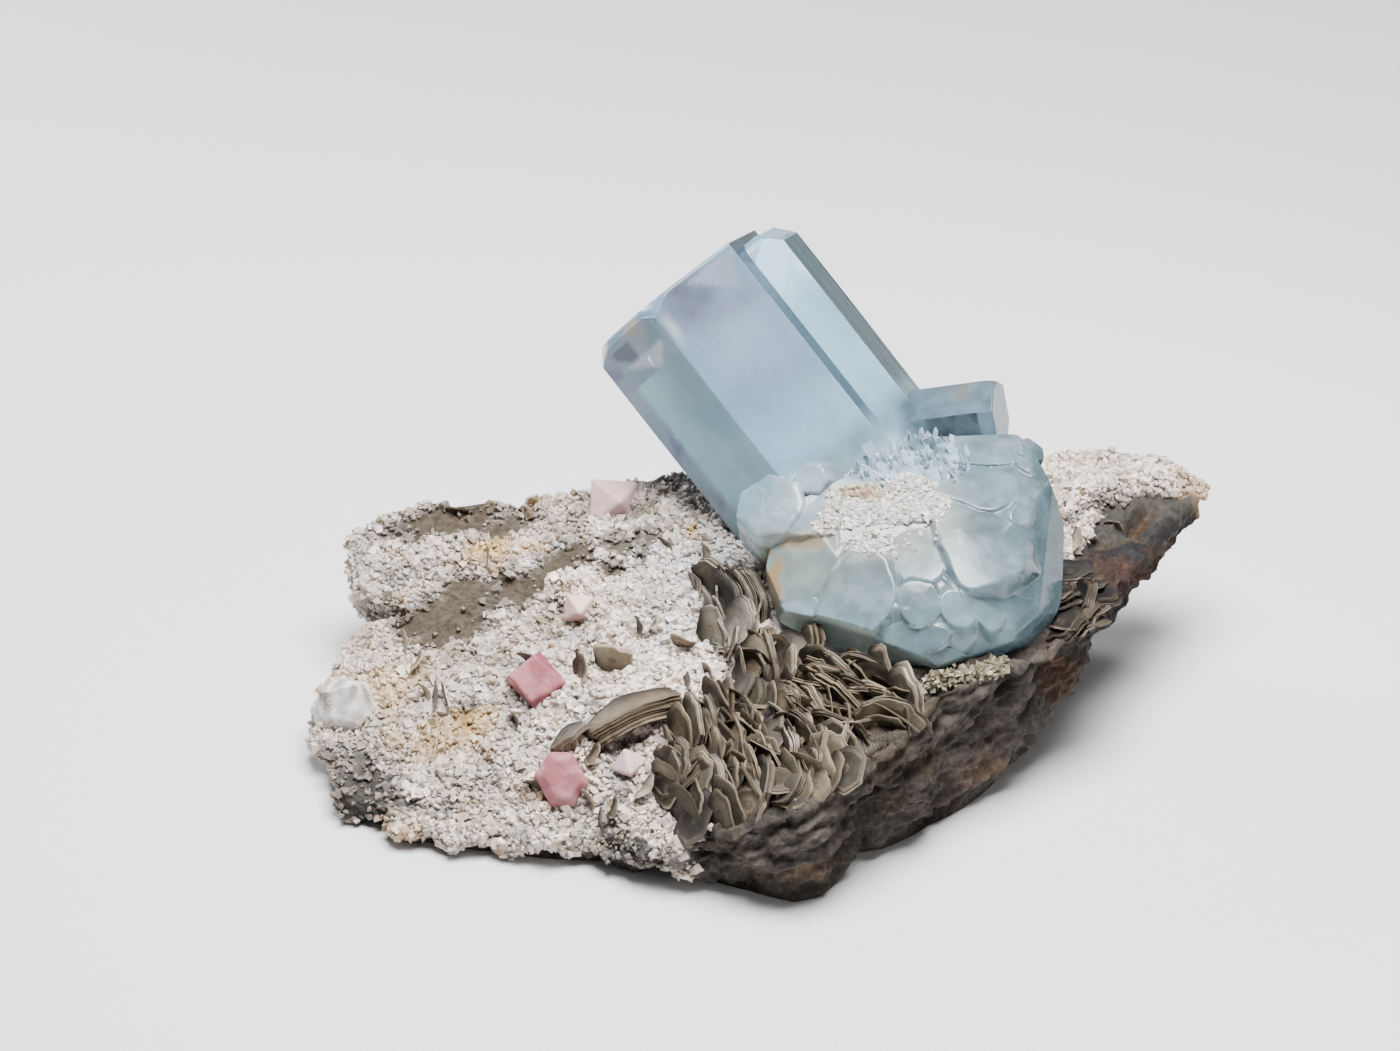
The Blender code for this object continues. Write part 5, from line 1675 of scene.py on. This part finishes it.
def book_shells(books, thickness, lift, layers, columns):
    """Closed shells of many books at once; columns run round, rows climb the rim.

    A point at reach p and angle t lies at u = p cos t, v = -p sin t (times a worn
    six-sided outline), w = curl u^2 + cup v^2 + a wave + its share of the thickness.
    """
    books = np.array(books, float)
    count = len(books)
    x, y, turn, show, length, height, curl = books.T
    thickness = np.broadcast_to(np.asarray(thickness, float), (count,))
    reach, level = book_profile(count, layers)
    angle = full_turn(columns)
    phase = chance.uniform(0, 2 * math.pi, (count, 4, 1))
    corners = 1 + SIX_SIDED * (six_sided(angle + phase[:, 3]) - 1.0)
    uneven = corners + 0.05 * np.sin(3 * angle + phase[:, 0]) + 0.03 * np.sin(
        7 * angle + phase[:, 1]) + chance.normal(0, 0.022, (count, columns))
    slide = chance.normal(0.0, 0.02, (count, reach.shape[1], 2))
    u = reach[..., None] * np.cos(angle) * uneven[:, None] + slide[..., :1]
    v = -reach[..., None] * np.sin(angle) * uneven[:, None] + slide[..., 1:]
    cup = chance.uniform(-0.35, 0.35, (count, 1, 1))
    wave = 0.16 * np.sin(4.0 * u + phase[:, :1]) * v
    page = (level[None, :, None] - 0.5) * thickness[:, None, None]
    w = curl[:, None, None] * u * u + cup * v * v + wave + page * (1 - 0.2 * v)
    edge, beside = heading(turn), heading(turn + 90.0)
    lean = np.radians(show)[:, None]
    normal = beside * np.cos(lean) + OUT * np.sin(lean)
    depth = np.cross(edge, normal)
    middle = np.stack((x, y, rock_height(x, y)), -1) + OUT * lift
    half_u, half_v = u * length[:, None, None] / 2, v * height[:, None, None] / 2
    place = middle[:, None, None] + half_u[..., None] * edge[:, None, None]
    place = place + half_v[..., None] * depth[:, None, None]
    place = place + w[..., None] * normal[:, None, None]
    rows = reach.shape[1]
    poles = np.stack((place[:, 0].mean(1), place[:, -1].mean(1)), 1)
    points = np.concatenate((place.reshape(count, -1, 3), poles), 1)
    stride = rows * columns + 2
    faces = tube_faces(rows, columns)[None] + stride * np.arange(count)[:, None, None]
    free = np.concatenate((
        np.clip(v, -1, 1).reshape(count, -1), np.zeros((count, 2)),
    ), 1)
    band = np.broadcast_to((reach > 0.83)[..., None], v.shape)
    lines = band * level[:, None] * 9.0 + (1 - band) * reach[..., None] * 0.6
    lines = lines + 1.3 * band + 40.0 * chance.random((count, 1, 1))
    ends = np.repeat(lines.mean((1, 2))[:, None], 2, axis=1)
    rim = np.concatenate((band.reshape(count, -1), np.zeros((count, 2))), 1)
    sheet = np.concatenate((lines.reshape(count, -1), ends), 1)
    return points.reshape(-1, 3), faces.reshape(-1, 3), free, rim, sheet


print("a book's side lies at", six_sided(math.pi / 6).round(3), "of its corner's reach")

# %% [markdown]
# Mica is brown-grey with a silky, almost metallic lustre; where the sheets end, the
# broken rim is much paler, and toward the root each book is painted dark, a painted
# shade.  That is a tone per vertex.
# The sheets themselves are finer than any mesh: a number called `sheet` runs across
# the rim and in from the edge of each face, and one-dimensional noise over it draws
# lines that follow every bend, both in the colour and in the bump.

# %% Mica finish
MICA = np.array((0.078, 0.066, 0.05))
MICA_RIM = np.array((0.34, 0.275, 0.21))
MICA_ROOT_SHADE = np.array((0.014, 0.011, 0.008))

mica_finish, shader, tree = finish(
    "mica_finish", Metallic=0.15, Specular_IOR_Level=0.22)
mica_tone = painted(tree, "tone")
level = node(tree, "SeparateColor", {"Color": painted(tree, "sheet")}, "Red")
lines = node(
    tree, "TexNoise", {"Scale": 1.6, "Detail": 3.0, "W": level}, "Fac",
    noise_dimensions="1D",
)
line_shade = ramp_between(tree, lines, 0.36, 0.62, 0.55, 1.32)
patches = ramp_between(tree, object_noise(tree, 520.0, 4.0), 0.3, 0.7, 0.75, 1.25)
fill(tree, shader, {
    "Base Color": times(tree, times(tree, mica_tone, line_shade), patches),
    "Roughness": ramp_between(tree, lines, 0.35, 0.65, 0.6, 0.4),
})
bumped(tree, shader, lines, 0.5, 0.0003)
print("mica finish:", len(tree.nodes), "nodes")

# %% Pieces of mica books
def mica_books(name, books, thickness, solid=None, shade=1.0, hue=0.0, lift=BOOK_LIFT,
               layers=5, columns=36, rim_shade=1.0):
    """One joined piece of books, from a root painted dark as shade to a pale rim."""
    points, faces, free, rim, sheet = book_shells(books, thickness, lift, layers, columns)
    count = len(free)
    each = chance.uniform(0.35, 1.6, (count, 1, 1))
    warm = chance.uniform(-1, 1, (count, 1, 1)) * np.array((0.07, 0.02, -0.1))
    # painted shade: the side of each book toward the rock is painted dark
    up = fade(-0.75, 0.25, free)[..., None]
    tone = MICA_ROOT_SHADE * (1 - up) + MICA * each * (1 + warm) * up
    pale = (rim * fade(-0.3, 0.5, free) * 0.6 * rim_shade)[..., None]
    pale = pale * chance.uniform(0.1, 1.4, (count, 1, 1))
    tone = (tone * (1 - pale) + MICA_RIM * pale) * shade
    tone = tone * (1 + hue * np.array((0.0, -0.06, -0.16)))
    mesh = new_mesh(name, points, faces)
    paint(mesh, "tone", np.clip(tone.reshape(-1, 3), 0.01, 0.9))
    paint(mesh, "sheet", sheet.ravel())
    piece = add_piece(name, mesh, mica_finish)
    mesh.set_sharp_from_angle(angle=math.radians(35.0))
    if solid:
        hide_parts(solid)

# %% Where the books stand
# each book: place (x, y), turn and show in degrees, length, height, curl
ROSETTE = (
    (-1, -37, 95, 20, 11, 9, 1.6), (1.6, -38.8, 92, 15, 12, 9, 1.6),
    (5.3, -42, 76, 25, 10, 9, 1.2), (7.8, -34.6, 55, 35, 9, 8, 0.8),
    (11.6, -27.6, 97, 12, 12, 8, 0.8), (13.8, -30.7, 80, 15, 11, 8, -0.6),
    (8.6, -27.2, 80, 55, 10, 8, 1), (17.7, -32.1, 15, 50, 11, 8, -0.8),
    (22.9, -30.2, 135, 12, 10, 8, 0.8), (26.6, -31, 155, 40, 12, 8, -1),
    (22.4, -37, 130, 22, 12, 9, 1.2), (27.9, -35.8, 170, 14, 10, 8, 0.6),
    (27.6, -40.2, 62, 20, 9, 8, 0.8), (32.6, -37.4, 100, 35, 12, 9, -1.8),
    (30, -42.6, 170, 58, 12, 9, -1), (23, -42.8, 155, 14, 13, 9, 0.8),
    (17.6, -44.4, 128, 16, 12, 9, 0.8), (10.1, -44.6, 55, 42, 12, 9, 1),
    (14.3, -48.4, 92, 10, 10, 9, 0.6), (18.6, -48.4, 82, 12, 10, 9, -0.6),
    (21.6, -46.2, 68, 14, 9, 8, -0.6), (-0.8, -46.4, 75, 48, 11, 9, 1.4),
    (2.6, -48.2, 88, 18, 9, 9, 1), (6.4, -50, 32, 60, 11, 9, -1),
    (10, -52, 80, 16, 10, 9, 0.8), (13.8, -53.4, 58, 26, 9, 8, 0.8),
    (16.4, -54, 16, 58, 10, 8, -1), (-3.6, -43, 82, 38, 9, 8, 1.2),
    (18.2, -38.8, 105, 16, 11, 9, 1.2),
)
FAN = (
    (4, -12.5, 78, 34, 13, 9, 2.4), (6.6, -11.5, 96, 26, 14, 10, 2.6),
    (9.4, -10.6, 108, 20, 13, 9, 2.2), (6, -17.6, 60, 48, 11, 8, 1.6),
    (2.6, -7, 112, 40, 11, 8, 1.8),
)
RIGHT_CLUSTER = (
    (61.5, -13.6, 20, 36, 10, 8, -0.8), (64.4, -9.4, 8, 26, 11, 8, -0.8),
    (59.4, -17, 38, 30, 9, 8, -0.6), (62.6, -11, 62, 22, 9, 8, 0.8),
)
LONG_BOOK = ((-11, -32.6, 22, 14, 18.5, 8.5, -2.4),)
SMALL_BOOK = ((-21.4, -34.4, 38, 18, 8, 5, -0.8),)
CURL_LEFT = ((-19.4, -21.8, 88, 30, 7, 5, 1),)
CURL_RIGHT = ((-14.4, -22, 158, 62, 8, 6, -1.4),)
print(len(ROSETTE), "books in the rosette,", len(FAN), "in the fan")

# %% Mica books and leaves
def filler_books(count, middle, spread, turn, size, show=(20.0, 15.0)):
    """Small books scattered in an ellipse, with turns round a common direction."""
    angle, part = chance.uniform(0, 2 * math.pi, count), np.sqrt(chance.random(count))
    x = middle[0] + spread[0] * part * np.cos(angle)
    y = middle[1] + spread[1] * part * np.sin(angle)
    lean = np.abs(chance.normal(show[0], show[1], count))
    return np.stack((
        x, y, chance.normal(turn[0], turn[1], count), lean,
        chance.uniform(*size, count), chance.uniform(6.0, 9.0, count),
        chance.normal(0.0, 0.22, count),
    ), -1)


rosette_table = np.array(ROSETTE, float)
rosette_table[:, 6] *= 0.35
rosette_leaves = np.concatenate((
    filler_books(48, (2.5, -44), (8.5, 11), (84, 22), (6, 13), (24, 18)),
    filler_books(46, (13.5, -44), (10, 10), (98, 40), (6, 13), (24, 18)),
    filler_books(40, (24.0, -37.5), (9, 8), (140, 30), (7, 13), (26, 18)),
    filler_books(18, (13.0, -53.0), (11, 3.5), (60, 40), (6, 10), (48, 14)),
    filler_books(16, (13.0, -26.5), (8, 3.5), (95, 34), (6, 11), (30, 18)),
))
leaf_count = len(rosette_leaves)
mica_books(
    "mica_rosette_books", rosette_table, chance.uniform(0.9, 2.0, len(ROSETTE)),
    "mica_rosette",
)
mica_books(
    "mica_rosette_leaves", rosette_leaves, chance.uniform(0.12, 0.65, leaf_count),
    hue=0.6, lift=2.3, layers=2, columns=22,
)
mica_books(
    "mica_fan_books", FAN, 2.0, "mica_fan",
    shade=1.35, hue=-0.8, layers=6, columns=44, rim_shade=0.5,
)
mica_books(
    "mica_fan_leaves", filler_books(12, (6, -14), (5, 9), (92, 16), (6, 12)), 0.5,
    shade=1.25, hue=-0.5, lift=2.2, layers=2, columns=30, rim_shade=0.8,
)
mica_books(
    "mica_right_books", RIGHT_CLUSTER, 1.9, "mica_cluster_right", shade=0.3, hue=0.3,
)
right_leaves = np.concatenate((
    filler_books(9, (62, -13), (4.5, 5), (30, 24), (5, 9)),
    filler_books(9, (61.0, -5.5), (3.5, 3.0), (14, 12), (6, 11), (26, 10)),
))
mica_books(
    "mica_right_leaves", right_leaves, 0.4,
    shade=0.4, hue=0.2, lift=2.0, layers=2, columns=26, rim_shade=1.3,
)
mica_books(
    "mica_long", LONG_BOOK, 4.0, "mica_long_book",
    shade=0.8, hue=1.2, layers=6, columns=60, rim_shade=0.5,
)
mica_books(
    "mica_small", SMALL_BOOK, 1.2, "mica_small_book",
    shade=1.1, hue=0.5, lift=2.0, layers=4, columns=30, rim_shade=0.5,
)
mica_books(
    "mica_curl_a", CURL_LEFT, 0.3, "mica_curl_left",
    shade=1.7, hue=0.4, lift=1.6, layers=2, columns=40,
)
mica_books(
    "mica_curl_b", CURL_RIGHT, 0.3, "mica_curl_right",
    shade=1.7, hue=0.5, lift=1.8, layers=2, columns=40, rim_shade=0.8,
)

# %% [markdown]
# Many small leaves also stick out of the crust, pale and thin, mostly near the left
# side and behind the rosette.  They get the same shells at a fraction of the size.

# %% Single leaves in the crust
LEAVES = (
    (-9.9, -14.3, 100, 30, 3.6, 3.4, 0.4), (-7.6, -14, 62, 20, 3.2, 3.2, 0.4),
    (62.8, 3.8, 70, 40, 5.5, 4.4, 0.5), (-43.8, -18.5, 84, 30, 6.5, 4, 0.3),
    (-41.9, -19.4, 100, 20, 6, 4, 0.3), (-45.6, -16.9, 118, 36, 4.2, 3.4, 0.4),
    (-17.8, -45, 120, 24, 4.4, 4, 0.5), (-15.8, -48, 96, 20, 4.6, 4, -0.4),
    (-13.6, -47, 74, 34, 4, 4, 0.4), (-17, -38.8, 60, 50, 4.6, 3.8, 0.6),
    (-26.6, -41, 150, 44, 4.2, 3.4, 0.6), (-4.6, -38.6, 110, 30, 5, 4.6, 0.6),
    (-7, -41.6, 70, 40, 5, 4.6, 0.6), (-8.6, -45.6, 52, 40, 5.2, 4.6, 0.6),
    (-3, -19.6, 160, 50, 5.2, 4, -0.8), (-2, -29.6, 84, 24, 5, 5, 0.5),
    (1.6, -27.6, 110, 30, 4.6, 4.8, 0.5), (-28.4, -15.6, 140, 44, 4.4, 3.4, 0.5),
    (-47.2, -9.4, 60, 30, 4.4, 3.8, 0.4), (-49.6, -4, 96, 30, 4, 3.8, 0.4),
    (-30.2, -27.8, 118, 20, 3.6, 4.2, 0.4), (-0.6, -6.4, 104, 34, 5.4, 5, 1),
    (1, 1.8, 96, 30, 4.6, 4.6, 0.8), (-36, 9.8, 84, 20, 4.2, 3.8, 0.4),
    (70, 9, 150, 50, 4.2, 3.6, 0.4), (-5.4, 4.6, 120, 44, 4, 3.6, 0.4),
)
leaf_table = np.array(LEAVES, float)
leaf_table[:, 3] = 0.55 * leaf_table[:, 3]
mica_books(
    "mica_leaves", leaf_table, 0.16, shade=1.9, hue=0.5, lift=1.1, layers=2, columns=26,
)

# %% [markdown]
# Between the books lies a close, dark mass of broken mica: a low mound whose skin is
# ridged noise, so no white crust shows through the gaps.  Its near-black tone is partly
# painted shade for those gaps.

# %% Mica root mass
def mound(name, foot, colour):
    """An ellipsoid on the rock: sphere directions times radii, pushed by ridges."""
    x, y, half_x, half_y, rise = foot
    polar = np.linspace(math.pi, 0, 34)[1:-1, None]
    angle = full_turn(72)
    sx, sy = np.sin(polar) * np.cos(angle), np.sin(polar) * np.sin(angle)
    sz = np.cos(polar) + 0 * angle
    grid = np.stack((x + sx * half_x, y + sy * half_y, 0 * sx), -1)
    ridged = 1 - 2 * np.abs(noise(grid + sz[..., None], 1.3))
    level = rock_height(grid[..., 0], grid[..., 1])
    grid[..., 2] = level + sz * rise * (1 + 0.35 * ridged) - 0.5
    poles = np.stack((grid[0].mean(0), grid[-1].mean(0)))
    points = np.concatenate((grid.reshape(-1, 3), poles))
    mesh = new_mesh(name, points, tube_faces(*grid.shape[:2]))
    tone = np.array(colour) * (1 + 0.8 * layered(points, 1.6, 2))[:, None]
    paint(mesh, "tone", np.clip(tone, 0.01, 0.5))
    paint(mesh, "sheet", 2.5 * points[:, 0] + 1.5 * points[:, 2])
    add_piece(name, mesh, mica_finish)


# near-black tones: partly the mica's own colour, partly painted shade between the books
mound("mica_rosette_root", (14.5, -42.5, 18.0, 11.5, 3.0), (0.03, 0.023, 0.016))
mound("mica_fan_root", (5.8, -11.8, 5.4, 7.0, 2.6), (0.05, 0.042, 0.034))
mound("mica_right_root", (61.2, -12.8, 4.4, 5.2, 3.0), (0.024, 0.019, 0.014))

# %% [markdown]
# ## Pink crystals and the clear one
#
# Five pink crystals sit in the crust: a cleaved block, a six-sided tablet and three
# octahedra, and on the left end a short colourless prism.  All are convex, so the
# formula of the aquamarine plates makes them too; only the planes differ.

# %% Octahedron planes
def octahedron(reach, cut=0.86):
    """Eight faces at one distance, and the six corners cut back a little."""
    lean, slant = math.acos(1 / math.sqrt(3.0)), math.acos(-1.0 / 3.0)
    planes = []
    for sign in (1.0, -1.0):
        planes.append((0, 0, sign, reach))
        for turn in np.radians((0.0, 120.0, 240.0)):
            x, y = math.cos(turn), math.sin(turn)
            planes.append((
                -sign * x * math.sin(slant), -sign * y * math.sin(slant),
                -sign * math.cos(slant), reach,
            ))
            planes.append((
                -sign * x * math.sin(lean), -sign * y * math.sin(lean),
                sign * math.cos(lean), reach * math.sqrt(3.0) * cut,
            ))
    return planes


print(len(octahedron(1.0)), "planes")

# %% Pink finish and pieces
pink_finish = tone_finish(
    "pink_finish", 0.88, 1.12, 420.0, (0.55, 0.34), (0.3, 0.0004),
    IOR=1.45, Transmission_Weight=0.06, Specular_IOR_Level=0.2,
)


def pink_piece(name, solid, at, turned, planes, lift, colour, pale, power=70.0):
    """A pink crystal: mottled and paler toward its root."""
    middle = np.array((*at, float(rock_height(*at)))) + OUT * lift
    points, faces = convex_shell(middle, turned, planes, power)
    mesh = new_mesh(name, points, faces)
    cloud = fade(-0.3, 0.7, layered(points, 2.2, 3))[:, None]
    root = fade(0.5, -3.5, (points - middle) @ OUT)[:, None]
    share = np.clip(0.6 * cloud + 0.5 * root, 0, 1)
    tone = np.array(colour) * (1 - share) + np.array(pale) * share
    paint(mesh, "tone", tone)
    piece = add_piece(name, mesh, pink_finish)
    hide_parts(solid)


PALE_PINK = (0.56, 0.35, 0.34)
block = [(*axis, half) for axis, half in (
    ((1, 0, 0), 3.5), ((-1, 0, 0), 3.4), ((0, 1, 0), 3.4), ((0, -1, 0), 3.6),
    ((0, 0, 1), 2.6), ((0, 0, -1), 4.0), ((1, 0.1, 0.9), 3.7), ((-0.2, -1, 0.7), 3.9),
)]
pink_piece(
    "pink_block", "pink_crystal_upper", (-26.9, -21.6), turned_frame(40, 6, 14), block,
    1.6, (0.205, 0.058, 0.069), (0.345, 0.145, 0.155),
)
tablet = [(0, 0, 1, 1.9), (0, 0, -1, 3.5)]
for turn, reach in zip(np.radians(60.0 * np.arange(6) + 8.0), (3.6, 4.3, 3.9, 3.5, 4.4, 4.1)):
    tablet.append((math.cos(turn), math.sin(turn), 0, reach))
    tablet.append((math.cos(turn), math.sin(turn), 1.1, (reach + 0.75) / math.hypot(1, 1.1)))
pink_piece(
    "pink_front", "pink_crystal_lower", (-22.3, -41.4), turned_frame(20, 4, 6), tablet,
    1.5, (0.235, 0.08, 0.092), (0.395, 0.205, 0.21),
)
OCTAHEDRA = (
    ("pink_behind", "pink_crystal_back", -14.8, 18.6, 3.5, (40, 20, 60), -0.9, 16.0,
     (0.57, 0.385, 0.39)),
    ("pink_centre", "pink_crystal_middle", -20.2, -6.4, 2.0, (30, 10, 40), 0.1, 12.0,
     (0.58, 0.4, 0.36)),
    ("pink_small", "pink_crystal_small", -11.4, -40.8, 1.9, (15, 30, 20), 0.5, 12.0,
     (0.55, 0.39, 0.41)),
)
for name, solid, x, y, reach, angles, lift, power, colour in OCTAHEDRA:
    pink_piece(
        name, solid, (x, y), turned_frame(*angles), octahedron(reach), lift,
        colour, PALE_PINK, power,
    )

# %% Clear crystal
CLEAR_HALF = 4.4
clear_planes = [(0, 0, -1, CLEAR_HALF * 1.4)]
for turn in np.radians(60.0 * np.arange(6)):
    x, y = math.cos(turn), math.sin(turn)
    clear_planes.append((x, y, 0, CLEAR_HALF))
    clear_planes.append((x, y, 0.9, CLEAR_HALF * 1.3 * 0.9 / math.hypot(1.0, 0.9)))
clear_middle = np.array((-58.6, -15.2, float(rock_height(-58.6, -15.2))))
clear_middle = clear_middle + OUT * CLEAR_HALF * 0.3
clear_points, clear_faces = convex_shell(
    clear_middle, turned_frame(25, 20, 35), clear_planes, 70.0, 0.008,
)
clear_mesh = new_mesh("clear_prism", clear_points, clear_faces)
clear_cloud = 0.5 + 0.8 * layered(clear_points, 2.4, 3)
paint(clear_mesh, "milk", np.clip(clear_cloud, 0, 1))
paint(clear_mesh, "tone", np.array((0.93, 0.92, 0.91)) * np.ones((len(clear_points), 1)))
clear_finish = gem_finish("clear_finish", 0.9, 0.35, (0.85, 0.88, 0.87), 20.0)
clear_piece = add_piece("clear_prism", clear_mesh, clear_finish)
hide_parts("clear_crystal")

# %% [markdown]
# ## Floor, light and camera
#
# A specimen is shown on a plain pale ground.  One large soft light hangs above and a
# little in front, as over a copy stand, so faces that look up are bright and those
# that look down stay deep in colour.  A weak one fills from the front right, and one
# behind on the left draws the edges.  The camera looks down at 30 degrees from the
# front through a long lens.

# %% Stage
CAMERA_AWAY = 700.0
CAMERA_LENS = 108.0


def soft_light(name, place, aim, size, power):
    """A white area light at a working-frame place, facing another place."""
    lamp = bpy.data.lights.new(name, "AREA")
    lamp.shape = "RECTANGLE"
    lamp.size, lamp.size_y = (side * MM for side in size)
    lamp.energy = power
    made = placed(name, lamp)
    made.location = Vector((np.array(place) + SHIFT) * MM)
    toward = Vector((np.array(aim, float) - np.array(place, float)))
    made.rotation_euler = toward.to_track_quat("-Z", "Y").to_euler()


def stage_floor():
    """A pale ground that curves up far behind, like a paper sweep."""
    depth = np.linspace(-900, 900, 2)
    run = np.linspace(0, 1, 40)
    y = np.where(run < 0.5, -900 + 2600 * run, 400 + 500 * np.sin((run - 0.5) * math.pi))
    z = np.where(run < 0.5, 0.0, 500 * (1 - np.cos((run - 0.5) * math.pi)))
    grid = np.stack([np.stack((np.full(40, x), y, z), -1) for x in depth * 1.6])
    index = np.arange(80).reshape(2, 40)
    faces = np.stack((index[0, :-1], index[1, :-1], index[1, 1:], index[0, 1:]), -1)
    mesh = new_mesh("stage_floor", grid.reshape(-1, 3) - SHIFT * (1, 1, 0), faces)
    mesh.polygons.foreach_set("use_smooth", np.ones(len(faces), bool))
    mesh.materials.append(finish("stage_paper", (0.55, 0.55, 0.55), Roughness=0.9)[0])
    placed("stage_floor", mesh)


stage_floor()
soft_light("key", (40, -60, 520), (10, -10, 20), (340, 260), 14.0)
soft_light("fill", (430, -380, 220), (20, 0, 30), (220, 220), 0.9)
soft_light("back", (-330, 330, 260), (-10, 10, 30), (220, 220), 2.4)
world = bpy.data.worlds.new("studio")
world.use_nodes = True
sky = {"Color": (1, 1, 1, 1), "Strength": 0.13}
fill(world.node_tree, world.node_tree.nodes["Background"], sky)
bpy.context.scene.world = world

lens = bpy.data.cameras.new("camera")
lens.lens = CAMERA_LENS
lens.sensor_width = 36.0
lens.clip_start, lens.clip_end = 0.01, 10.0
camera = placed("camera", lens)
camera.location = Vector((BOARD_ORIGIN + CAMERA_AWAY * OUT + SHIFT) * MM)
camera.rotation_euler = (math.radians(90.0) - BOARD_LIFT, 0.0, 0.0)
bpy.context.scene.camera = camera
print("camera", CAMERA_AWAY, "mm away, lens", CAMERA_LENS, "mm")
